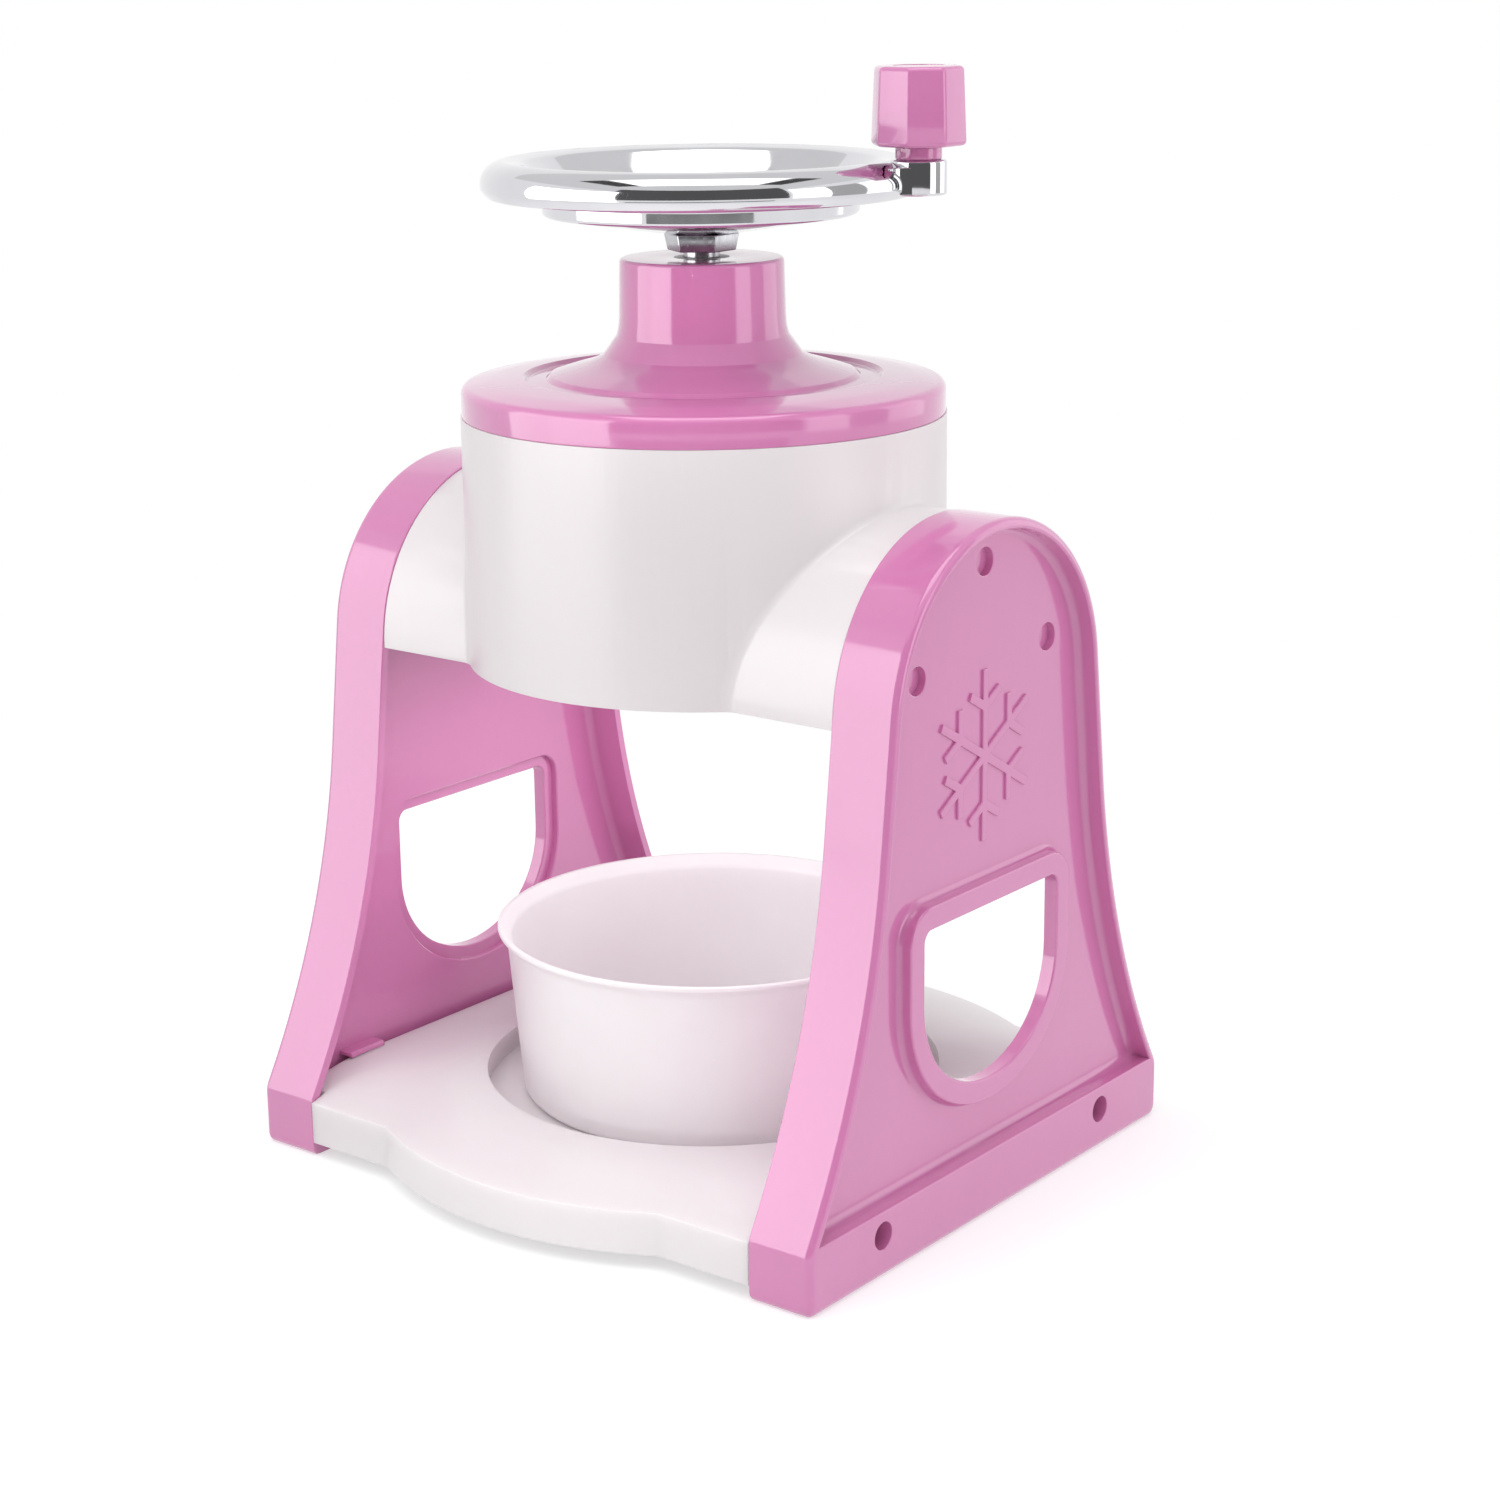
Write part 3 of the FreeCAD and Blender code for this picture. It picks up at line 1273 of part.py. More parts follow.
def check_spring():
    """A swept coil can lose its section on the way, so its volume is compared."""
    spring = next(piece for piece in nodes if piece.Label == "pressure_spring")
    turn = 2 * math.pi * (s.spring_radius + s.spring_wire_radius).value
    rise = (spring_top - press_top - 2 * s.spring_wire_radius).value
    length = math.hypot(turn * s.spring_turns.value, rise)
    expected = math.pi * s.spring_wire_radius.value ** 2 * length
    if abs(spring.Shape.Volume / expected - 1) > SPRING_TOLERANCE:
        raise RuntimeError("the spring's wire has the wrong volume")


def write_parts():
    os.makedirs("parts", exist_ok=True)
    for piece in nodes:
        piece.Shape.exportStep(f"parts/{piece.Label}.step")
        bounds = piece.Shape.optimalBoundingBox(False, False)
        print(f"{piece.Label:24s} solids {len(piece.Shape.Solids):2d}"
              f"  x {bounds.XMin:7.2f} {bounds.XMax:7.2f}  y {bounds.YMin:7.2f} {bounds.YMax:7.2f}"
              f"  z {bounds.ZMin:7.2f} {bounds.ZMax:7.2f}  volume {piece.Shape.Volume:9.0f}")


side_panels()
base_tray()
hopper()
shaving_plate_and_blade()
screws()
bowl()
lid()
spindle_group()
handwheel()
knob_group()
press_group()
document.recompute()
check_document()
check_spring()
write_parts()
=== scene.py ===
import math

import bmesh
import bpy
from bpy.props import FloatProperty, FloatVectorProperty, IntProperty, PointerProperty
from mathutils import Matrix, Vector


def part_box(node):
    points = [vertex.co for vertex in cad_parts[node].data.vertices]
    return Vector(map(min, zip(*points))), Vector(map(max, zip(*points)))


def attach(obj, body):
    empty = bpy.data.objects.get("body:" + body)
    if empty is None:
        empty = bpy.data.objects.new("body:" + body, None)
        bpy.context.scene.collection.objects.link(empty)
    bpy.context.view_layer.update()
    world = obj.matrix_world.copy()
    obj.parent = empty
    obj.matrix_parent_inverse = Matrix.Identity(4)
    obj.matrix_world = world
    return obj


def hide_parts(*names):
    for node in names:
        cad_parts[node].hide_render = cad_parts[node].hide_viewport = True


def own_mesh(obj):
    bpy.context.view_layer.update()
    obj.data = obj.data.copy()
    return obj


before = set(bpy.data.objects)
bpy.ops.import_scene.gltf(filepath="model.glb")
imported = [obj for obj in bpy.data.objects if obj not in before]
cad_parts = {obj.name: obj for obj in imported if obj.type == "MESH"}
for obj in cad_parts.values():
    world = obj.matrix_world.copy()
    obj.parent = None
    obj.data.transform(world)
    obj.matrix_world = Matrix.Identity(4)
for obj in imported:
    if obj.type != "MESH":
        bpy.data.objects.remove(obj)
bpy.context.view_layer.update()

bl_info = {
    "name": "Ice Shaver",
    "version": (1, 0, 0),
    "blender": (4, 5, 0),
    "location": "3D View > Sidebar > Ice Shaver",
    "description": "Dresses the packed frame of a hand cranked ice shaver",
    "category": "Object",
}

MM = 0.001
WELD = 1e-6
TOP_OF = {node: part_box(node)[1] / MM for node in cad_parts}
FOOT_OF = {node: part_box(node)[0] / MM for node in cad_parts}
finishes = {}


def from_screen(red, green, blue):
    """A colour as it looks on a screen, 0 to 255, as the linear colour that a shader takes."""
    knee, slope, offset, power = 0.04045, 12.92, 0.055, 2.4
    shares = [channel / 255 for channel in (red, green, blue)]
    return tuple(v / slope if v <= knee else ((v + offset) / (1 + offset)) ** power
                 for v in shares)


# ---------------------------------------------------------------------------
# Settings
# ---------------------------------------------------------------------------

def colour_setting(name, description, default):
    return FloatVectorProperty(name=name, description=description, default=default,
                               subtype="COLOR", size=3, min=0, max=1)


def length_setting(name, description, millimetres):
    return FloatProperty(name=name, description=description, default=millimetres * MM,
                         subtype="DISTANCE", unit="LENGTH", min=0, precision=5)


def angle_setting(name, description, degrees):
    return FloatProperty(name=name, description=description, default=math.radians(degrees),
                         subtype="ANGLE")


class ShaverColours(bpy.types.PropertyGroup):
    pink: colour_setting("Pink", "Side panels, lid and knob", from_screen(214, 128, 181))
    white: colour_setting("White", "Hopper", from_screen(231, 225, 227))
    tray: colour_setting("Tray", "The tray's milky white", from_screen(235, 229, 231))
    frosted: colour_setting("Frosted", "The bowl's milky plastic", from_screen(242, 236, 239))
    plate: colour_setting("Plate", "Shaving and pressing plates", from_screen(228, 226, 222))
    bush: colour_setting("Bush", "The spindle's bearing", from_screen(196, 194, 190))
    chrome: colour_setting("Chrome", "Crank wheel and its hub", from_screen(222, 222, 226))
    steel: colour_setting("Steel", "Blade, spindle and spring", from_screen(196, 196, 200))
    screw: colour_setting("Screws", "Plated screws and washers", from_screen(176, 172, 164))


class ShaverSizes(bpy.types.PropertyGroup):
    turned_sides: IntProperty(name="Turned sides", min=48, max=360, default=192,
                              description="Facets round a turned piece")
    edge_softness: length_setting("Edge softness", "Rounding of the moulded edges", 0.5)
    tray_softness: length_setting("Tray softness", "Rounding of the tray's edges", 1.1)
    junction_radius: length_setting("Junction", "Fillet where an arm meets the hopper", 1.6)
    knob_rounding: length_setting("Knob rounding", "Rounding of the knob's two ends", 1.2)
    wire_radius: length_setting("Wire", "Half the thickness of the spring's wire", 0.8)
    spring_turns: FloatProperty(name="Spring turns", min=2, max=30, default=9.0,
                                description="Turns of the pressure spring")
    inner_spikes: IntProperty(name="Inner spikes", min=0, max=24, default=6,
                              description="Spikes on the inner circle of the pressing plate")
    outer_spikes: IntProperty(name="Outer spikes", min=0, max=48, default=12,
                              description="Spikes on the outer circle of the pressing plate")


class ShaverStudio(bpy.types.PropertyGroup):
    camera_place: FloatVectorProperty(name="Camera", description="Where the camera stands",
                                      subtype="TRANSLATION", unit="LENGTH", size=3,
                                      default=(0.477619, -0.594809, 0.316598))
    camera_turn: angle_setting("Turn", "How far round the camera stands from the front", 37.947)
    camera_tilt: angle_setting("Tilt", "How far the camera looks down", 15.344)
    camera_roll: angle_setting("Roll", "How far the camera leans", 0.63)
    lens: FloatProperty(name="Lens", description="Focal length on a 36 mm sensor, in millimetres",
                        default=71.49, min=10, max=300)
    room_light: FloatProperty(name="Room light", description="Light from all round",
                              default=0.6, min=0, max=2)
    lamp_light: FloatProperty(name="Lamps", description="Strength of all the lamps",
                              default=1.0, min=0, max=5)
    card_light: FloatProperty(name="Cards", description="Strength of all that the gloss reflects",
                              default=1.0, min=0, max=5)


class ShaverSettings(bpy.types.PropertyGroup):
    colours: PointerProperty(type=ShaverColours, name="Colours")
    sizes: PointerProperty(type=ShaverSizes, name="Sizes")
    studio: PointerProperty(type=ShaverStudio, name="Studio")


# ---------------------------------------------------------------------------
# Lines and meshes. Outlines are in millimetres, meshes in metres.
# ---------------------------------------------------------------------------

def round_corners(corners, steps=6):
    """The line through corners given as (across, up) or (across, up, rounding)."""
    line = []
    for index, (across, up, *rounding) in enumerate(corners):
        here = Vector((across, up))
        if not rounding:
            line.append(here)
            continue
        before = (Vector(corners[index - 1][:2]) - here).normalized()
        after = (Vector(corners[(index + 1) % len(corners)][:2]) - here).normalized()
        half = before.angle(after) / 2
        start = here + before * rounding[0] / math.tan(half)
        centre = here + (before + after).normalized() * rounding[0] / math.sin(half)
        turn = math.copysign(math.pi - 2 * half, -before.cross(after))
        for step in range(steps + 1):
            line.append(centre + Matrix.Rotation(turn * step / steps, 2) @ (start - centre))
    return line


def sweep_curve(start, pull, push, end, steps=16):
    """A curve that leaves start towards pull and arrives at end from push."""
    points = [Vector(point) for point in (start, pull, push, end)]
    line = []
    for step in range(steps + 1):
        t = step / steps
        shares = ((1 - t) ** 3, 3 * t * (1 - t) ** 2, 3 * t * t * (1 - t), t ** 3)
        line.append(sum((p * share for p, share in zip(points, shares)), Vector((0, 0))))
    return line


def arc_points(centre, radius, first, last, steps):
    """Points on an arc, with its angles in degrees."""
    angles = [math.radians(first + (last - first) * step / steps) for step in range(steps + 1)]
    return [Vector((centre[0] + radius * math.cos(a), centre[1] + radius * math.sin(a)))
            for a in angles]


def plain_mesh(name, shape, sharp_degrees=32):
    """Turns a bmesh into a mesh, smooth except at its sharp edges."""
    mesh = bpy.data.meshes.new(name)
    shape.to_mesh(mesh)
    shape.free()
    mesh.shade_smooth()
    mesh.set_sharp_from_angle(angle=math.radians(sharp_degrees))
    return mesh


def add_strip(shape, rings, wrap=False, capped=False):
    """Faces through rings of points. A ring of one point closes an end, and so does a cap."""
    rows = [[shape.verts.new(Vector(point) * MM) for point in ring] for ring in rings]
    pairs = list(zip(rows, rows[1:]))
    if wrap:
        pairs.append((rows[-1], rows[0]))
    for low, high in pairs:
        count = max(len(low), len(high))
        for here in range(count):
            beyond = (here + 1) % count
            corners = (low[here % len(low)], low[beyond % len(low)],
                       high[beyond % len(high)], high[here % len(high)])
            shape.faces.new(list(dict.fromkeys(corners)))
    if capped:
        shape.faces.new(rows[0])
        shape.faces.new(rows[-1])


def skin(name, rings, wrap=False, capped=False):
    """A mesh through rings of points."""
    shape = bmesh.new()
    add_strip(shape, rings, wrap, capped)
    bmesh.ops.recalc_face_normals(shape, faces=shape.faces)
    return plain_mesh(name, shape)


def slab(name, outline, bottom, top):
    """A flat block with the given plan."""
    return skin(name, [[(x, y, height) for x, y in outline] for height in (bottom, top)],
                capped=True)


def show(name, mesh):
    """Puts a mesh in the scene as an object."""
    piece = bpy.data.objects.new(name, mesh)
    bpy.context.scene.collection.objects.link(piece)
    return piece


def fit(piece, slot, body, *nodes):
    """Gives a piece its finish, and puts it on its body in the place of its nodes."""
    piece.data.materials.clear()
    piece.data.materials.append(finishes[slot])
    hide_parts(*nodes)
    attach(piece, body)
    return piece


def frame_copy(name, node, flat_degrees=0.4):
    """A copy of a node's mesh with its doubles merged and its flat faces in one."""
    shape = bmesh.new()
    shape.from_mesh(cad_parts[node].data)
    bmesh.ops.remove_doubles(shape, verts=shape.verts, dist=WELD)
    bmesh.ops.dissolve_limit(shape, angle_limit=math.radians(flat_degrees),
                             verts=shape.verts, edges=shape.edges)
    return show(name, plain_mesh(name, shape))


def soften(piece, width, segments=2, angle=38):
    """Rounds a piece's edges."""
    bevel = piece.modifiers.new("Soft edges", "BEVEL")
    bevel.width = width
    bevel.segments = segments
    bevel.limit_method = "ANGLE"
    bevel.angle_limit = math.radians(angle)
    bevel.harden_normals = True
    bevel.use_clamp_overlap = True
    return piece


def dress(node, slot):
    """Gives a node that stays as it is a better finish."""
    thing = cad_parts[node]
    for index in range(len(thing.material_slots)):
        thing.material_slots[index].material = finishes[slot]


# ---------------------------------------------------------------------------
# Node trees
# ---------------------------------------------------------------------------

class Nodes:
    """Adds nodes to a tree and joins them."""

    def __init__(self, group):
        self.group = group

    def put(self, socket, value):
        """Joins another node's socket to an input, or sets the input's own value."""
        if isinstance(value, bpy.types.NodeSocket):
            self.group.links.new(value, socket)
        else:
            socket.default_value = value

    def node(self, kind, settings=None, **inputs):
        """Adds a node. Inputs are values or other nodes' sockets, by input name."""
        node = self.group.nodes.new(kind)
        for name, value in (settings or {}).items():
            setattr(node, name, value)
        for name, value in inputs.items():
            label = name.replace("_", " ").lower()
            self.put(next(s for s in node.inputs if s.enabled and s.name.lower() == label), value)
        return node

    def row(self, kind, *values, **settings):
        """Adds a node. Values or other nodes' sockets go to its inputs in their order."""
        node = self.node(kind, settings)
        for socket, value in zip(node.inputs, values):
            self.put(socket, value)
        return node

    def maths(self, operation, *values):
        """Sums and the like, with one value or two."""
        return self.row("ShaderNodeMath", *values, operation=operation).outputs[0]


def socket_label(word):
    """An input's name as Blender shows it: head_radius is Head radius."""
    return word.replace("_", " ").capitalize()


class Tree(Nodes):
    """A Geometry Nodes tree being built."""

    KINDS = {"length": "NodeSocketFloat", "count": "NodeSocketInt", "number": "NodeSocketFloat",
             "turn": "NodeSocketRotation", "finish": "NodeSocketMaterial"}

    def __init__(self, name, **inputs):
        super().__init__(bpy.data.node_groups.new(name, "GeometryNodeTree"))
        sockets = self.group.interface
        sockets.new_socket("Geometry", in_out="INPUT", socket_type="NodeSocketGeometry")
        for word, kind in inputs.items():
            sockets.new_socket(socket_label(word), in_out="INPUT", socket_type=self.KINDS[kind])
        sockets.new_socket("Geometry", in_out="OUTPUT", socket_type="NodeSocketGeometry")
        self.given = self.node("NodeGroupInput")
        self.result = self.node("NodeGroupOutput")

    def value(self, word):
        return self.given.outputs[socket_label(word)]

    def vector(self, **parts):
        """A vector from its X, Y and Z. One that isn't given is 0."""
        return self.node("ShaderNodeCombineXYZ", **parts).outputs[0]

    def moved(self, geometry, offset):
        return self.node("GeometryNodeTransform", Geometry=geometry, Translation=offset).outputs[0]

    def join(self, *geometries):
        node = self.node("GeometryNodeJoinGeometry")
        for geometry in geometries:
            self.group.links.new(geometry, node.inputs[0])
        return node.outputs[0]

    def finish(self, geometry):
        """Ends the tree with real geometry in its finish."""
        real = self.node("GeometryNodeRealizeInstances", Geometry=geometry)
        dressed = self.node("GeometryNodeSetMaterial", Geometry=real.outputs[0],
                            Material=self.value("finish"))
        self.group.links.new(dressed.outputs[0], self.result.inputs[0])
        return self.group


def grow(name, tree, start, slot, **values):
    """Runs a tree on a starting mesh and keeps what it makes as a plain mesh."""
    piece = show(name, start)
    modifier = piece.modifiers.new("Growth", "NODES")
    modifier.node_group = tree
    given = {socket_label(word): value for word, value in values.items()}
    given["Finish"] = finishes[slot]
    for item in tree.interface.items_tree:
        if item.item_type == "SOCKET" and item.in_out == "INPUT" and item.name in given:
            modifier[item.identifier] = given[item.name]
    ready = piece.evaluated_get(bpy.context.evaluated_depsgraph_get())
    made = bpy.data.meshes.new_from_object(ready)
    piece.modifiers.remove(modifier)
    shape = bmesh.new()
    shape.from_mesh(made)
    bmesh.ops.recalc_face_normals(shape, faces=shape.faces)
    piece.data = plain_mesh(name, shape)
    return piece


def points_mesh(name, points=()):
    """A mesh of loose points, for a tree to start from."""
    mesh = bpy.data.meshes.new(name)
    mesh.from_pydata([Vector(point) * MM for point in points], [], [])
    return mesh


def turning_tree():
    """Turns a line of points, with radius along X and height along Z, about the Z axis."""
    tree = Tree("Turned piece", rows="count", sides="count", finish="finish")
    around = tree.maths("ADD", tree.value("sides"), 1)
    grid = tree.node("GeometryNodeMeshGrid", Vertices_X=tree.value("rows"), Vertices_Y=around)
    index = tree.node("GeometryNodeInputIndex").outputs[0]
    row = tree.maths("FLOOR", tree.maths("DIVIDE", index, around))
    column = tree.maths("MODULO", index, around)
    angle = tree.maths("DIVIDE", tree.maths("MULTIPLY", column, 2 * math.pi), tree.value("sides"))
    place = tree.node("GeometryNodeInputPosition").outputs[0]
    point = tree.node("GeometryNodeSampleIndex", {"data_type": "FLOAT_VECTOR"},
                      Geometry=tree.value("geometry"), Value=place, Index=row)
    parts = tree.node("ShaderNodeSeparateXYZ", Vector=point.outputs[0])
    turned_place = tree.vector(
        X=tree.maths("MULTIPLY", parts.outputs["X"], tree.maths("COSINE", angle)),
        Y=tree.maths("MULTIPLY", parts.outputs["X"], tree.maths("SINE", angle)),
        Z=parts.outputs["Z"])
    moved = tree.node("GeometryNodeSetPosition", Geometry=grid.outputs["Mesh"],
                      Position=turned_place)
    merged = tree.node("GeometryNodeMergeByDistance", Geometry=moved.outputs[0], Distance=WELD)
    return tree.finish(merged.outputs[0])


def turned(name, slot, outline, closed=False, centre=(0, 0), sides=None):
    """A turned piece, such as the lid. A closed outline makes a ring with a hole."""
    line = list(outline) + ([outline[0]] if closed else [])
    start = points_mesh(name, [(max(across, 0.0), 0, up) for across, up in line])
    tree = bpy.data.node_groups.get("Turned piece") or turning_tree()
    sides = sides or bpy.context.scene.ice_shaver.sizes.turned_sides
    piece = grow(name, tree, start, slot, rows=len(line), sides=sides)
    piece.data.transform(Matrix.Translation(Vector((*centre, 0)) * MM))
    return piece


# Pan head screws, the same all over the machine. The crown is a share of the head's radius.
# The second bar of the cross is a little less deep, so that no two cuts lie in one plane.
SCREW_HEAD_RADIUS = 2.9
SCREW_HEAD_HEIGHT = 2.2
SCREW_SHANK_RADIUS = 1.5
SCREW_HEAD_SIDES = 48
SCREW_SHANK_SIDES = 24
SCREW_CROWN = 0.74
CROSS_LENGTH = 3.2
CROSS_WIDTH = 0.8
CROSS_DEPTH = 1.1
SECOND_BAR = 0.96
TWIST_SEED = 7


def screw_tree():
    """Pan head screws with a cross recess, one on each point. They look along their local Z."""
    tree = Tree("Cross head screws", facing="turn", head_radius="length", head_height="length",
                shank_radius="length", shank_length="length", recess_length="length",
                recess_width="length", recess_depth="length", finish="finish")
    head_height = tree.value("head_height")
    length = tree.value("shank_length")
    rod = tree.node("GeometryNodeMeshCylinder", Vertices=SCREW_SHANK_SIDES,
                    Radius=tree.value("shank_radius"), Depth=length)
    drop = tree.vector(Z=tree.maths("MULTIPLY", length, -0.5))
    shank = tree.moved(rod.outputs["Mesh"], drop)
    crown = tree.maths("MULTIPLY", tree.value("head_radius"), SCREW_CROWN)
    head = tree.node("GeometryNodeMeshCone", Vertices=SCREW_HEAD_SIDES, Side_Segments=1,
                     Radius_Top=crown, Radius_Bottom=tree.value("head_radius"),
                     Depth=head_height).outputs[0]
    lift = tree.vector(Z=head_height)
    cut = tree.maths("MULTIPLY", tree.value("recess_depth"), 2)
    long, narrow = tree.value("recess_length"), tree.value("recess_width")
    for across, along, share in ((long, narrow, 1.0), (narrow, long, SECOND_BAR)):
        size = tree.vector(X=across, Y=along, Z=tree.maths("MULTIPLY", cut, share))
        bar = tree.node("GeometryNodeMeshCube", Size=size).outputs["Mesh"]
        head = tree.node("GeometryNodeMeshBoolean", {"operation": "DIFFERENCE"},
                         Mesh_1=head, Mesh_2=tree.moved(bar, lift)).outputs[0]
    placed = tree.node("GeometryNodeInstanceOnPoints", Points=tree.value("geometry"),
                       Instance=tree.join(shank, head), Rotation=tree.value("facing"))
    twist = tree.node("FunctionNodeRandomValue", {"data_type": "FLOAT"},
                      Min=0.0, Max=math.pi, Seed=TWIST_SEED)
    spin = tree.vector(Z=next(s for s in twist.outputs if s.enabled))
    twisted = tree.node("GeometryNodeRotateInstances", Instances=placed.outputs[0],
                        Rotation=spin, Local_Space=True)
    return tree.finish(twisted.outputs[0])


def screws(name, body, node, points, facing, length):
    """One set of like screws. Their points are under the heads."""
    tree = bpy.data.node_groups.get("Cross head screws") or screw_tree()
    piece = grow(name, tree, points_mesh(name, points), "screw_steel", facing=facing,
                 head_radius=SCREW_HEAD_RADIUS * MM, head_height=SCREW_HEAD_HEIGHT * MM,
                 shank_radius=SCREW_SHANK_RADIUS * MM, shank_length=length * MM,
                 recess_length=CROSS_LENGTH * MM, recess_width=CROSS_WIDTH * MM,
                 recess_depth=CROSS_DEPTH * MM)
    return fit(piece, "screw_steel", body, node)


def spike_tree():
    """Spikes that hang from two circles of points."""
    spike_sides = 20
    tree = Tree("Spikes", inner_circle="length", outer_circle="length", inner_count="count",
                outer_count="count", base_radius="length", tip_radius="length", length="length",
                finish="finish")
    spike = tree.node("GeometryNodeMeshCone", Vertices=spike_sides,
                      Radius_Top=tree.value("base_radius"),
                      Radius_Bottom=tree.value("tip_radius"), Depth=tree.value("length"))
    rings = []
    for ring in ("inner", "outer"):
        count = tree.value(f"{ring}_count")
        circle = tree.node("GeometryNodeMeshCircle", Vertices=count,
                           Radius=tree.value(f"{ring}_circle"))
        half_step = tree.vector(Z=tree.maths("DIVIDE", math.pi, count))
        turned_ring = tree.node("GeometryNodeTransform", Geometry=circle.outputs["Mesh"],
                                Rotation=half_step)
        rings.append(turned_ring.outputs[0])
    set_out = tree.node("GeometryNodeInstanceOnPoints", Points=tree.join(*rings),
                        Instance=spike.outputs["Mesh"])
    return tree.finish(set_out.outputs[0])


def spring_tree():
    """A coil spring that stands on the origin."""
    steps_per_turn, wire_sides = 48, 14
    tree = Tree("Coil spring", coil_radius="length", wire_radius="length", height="length",
                turns="number", finish="finish")
    coil = tree.node("GeometryNodeCurveSpiral", Resolution=steps_per_turn,
                     Rotations=tree.value("turns"), Start_Radius=tree.value("coil_radius"),
                     End_Radius=tree.value("coil_radius"), Height=tree.value("height"))
    wire = tree.node("GeometryNodeCurvePrimitiveCircle", Resolution=wire_sides,
                     Radius=tree.value("wire_radius"))
    swept = tree.node("GeometryNodeCurveToMesh", Curve=coil.outputs[0],
                      Profile_Curve=wire.outputs["Curve"], Fill_Caps=True)
    return tree.finish(swept.outputs[0])


def crystal_tree():
    """Sets flat arms round the origin and raises them along X."""
    tree = Tree("Snow crystal", arms="count", height="length", finish="finish")
    weld = 10 * WELD
    spots = tree.node("GeometryNodeMeshLine", Count=tree.value("arms"), Offset=(0, 0, 0))
    index = tree.node("GeometryNodeInputIndex").outputs[0]
    step = tree.maths("DIVIDE", 2 * math.pi, tree.value("arms"))
    turn = tree.vector(X=tree.maths("MULTIPLY", index, step))
    arms = tree.node("GeometryNodeInstanceOnPoints", Points=spots.outputs[0],
                     Instance=tree.value("geometry"), Rotation=turn)
    real = tree.node("GeometryNodeRealizeInstances", Geometry=arms.outputs[0])
    flat = tree.node("GeometryNodeMergeByDistance", Geometry=real.outputs[0], Distance=weld)
    rise = tree.vector(X=tree.value("height"))
    raised = tree.node("GeometryNodeExtrudeMesh", {"mode": "FACES"}, Mesh=flat.outputs[0],
                       Offset=rise, Offset_Scale=1.0, Individual=False)
    both = tree.join(raised.outputs["Mesh"], flat.outputs[0])
    closed = tree.node("GeometryNodeMergeByDistance", Geometry=both, Distance=weld)
    return tree.finish(closed.outputs[0])


# ---------------------------------------------------------------------------
# Finishes. Sizes of patterns and heights of relief are in millimetres.
# ---------------------------------------------------------------------------

NOISE_LOW = 0.3
NOISE_HIGH = 0.7
MILKY_DEPTH = (1.0, 0.94, 0.96)


class Surface(Nodes):
    """A finish being mixed. Its patterns lie in Object coordinates."""

    def __init__(self, name, colour, roughness, **fixed):
        self.material = bpy.data.materials.new(name)
        self.material.use_nodes = True
        super().__init__(self.material.node_tree)
        self.shader = self.group.nodes["Principled BSDF"]
        self.shader.inputs["Base Color"].default_value = (*colour, 1)
        self.shader.inputs["Roughness"].default_value = roughness
        for label, value in fixed.items():
            self.shader.inputs[label.replace("_", " ")].default_value = value
        self.place = self.node("ShaderNodeTexCoord").outputs["Object"]
        self.tint = (*colour, 1)
        self.normal = None
        finishes[name] = self.material

    def pattern(self, size, detail=2.0, stretch=(1, 1, 1), distortion=0.0):
        """Noise whose blots are about as large as size."""
        mapping = self.node("ShaderNodeMapping", Vector=self.place, Scale=stretch)
        noise = self.node("ShaderNodeTexNoise", Vector=mapping.outputs[0],
                          Scale=1 / (size * MM), Detail=detail, Distortion=distortion)
        return noise.outputs["Fac"]

    def spread(self, pattern, low, high):
        """Stretches a pattern's middle range to run from low to high."""
        node = self.node("ShaderNodeMapRange", Value=pattern, From_Min=NOISE_LOW,
                         From_Max=NOISE_HIGH, To_Min=low, To_Max=high)
        return node.outputs["Result"]

    def mottle(self, pattern, darker):
        """Lets the colour drift between itself and a darker shade."""
        mix = self.node("ShaderNodeMix", {"data_type": "RGBA", "blend_type": "MULTIPLY"},
                        Factor=self.spread(pattern, 0, 1), A=self.tint,
                        B=(darker, darker, darker, 1))
        self.tint = mix.outputs["Result"]
        self.put(self.shader.inputs["Base Color"], self.tint)

    def roughen(self, pattern, low, high):
        """Lets the roughness drift from low to high."""
        self.put(self.shader.inputs["Roughness"], self.spread(pattern, low, high))

    def relief(self, pattern, height):
        """Raises the surface by a pattern."""
        bump = self.node("ShaderNodeBump", Strength=1.0, Distance=height * MM, Height=pattern)
        if self.normal:
            self.put(bump.inputs["Normal"], self.normal)
        self.normal = bump.outputs["Normal"]
        self.put(self.shader.inputs["Normal"], self.normal)


def moulded_plastic(name, colour, gloss, coat=0.0, unevenness=1.0, milkiness=0.0):
    """Glossy moulding: faint flow marks, a slight ripple and a fine skin."""
    flow, specks, ripple, skin_height = 0.035, 0.015, 0.02, 0.0012
    smoother, rougher = 0.2, 0.25
    surface = Surface(name, colour, gloss, IOR=1.6, Coat_Weight=coat, Coat_Roughness=0.05,
                      Subsurface_Weight=milkiness, Subsurface_Radius=MILKY_DEPTH,
                      Subsurface_Scale=5 * MM)
    marks = surface.pattern(size=34, detail=3, stretch=(1, 1, 0.35), distortion=0.6)
    surface.mottle(marks, 1 - flow * unevenness)
    surface.mottle(surface.pattern(size=2.2), 1 - specks * unevenness)
    surface.roughen(surface.pattern(size=9, detail=4), gloss * (1 - smoother * unevenness),
                    gloss * (1 + rougher * unevenness))
    surface.relief(surface.pattern(size=14, detail=1), ripple * unevenness)
    surface.relief(surface.pattern(size=0.9), skin_height)


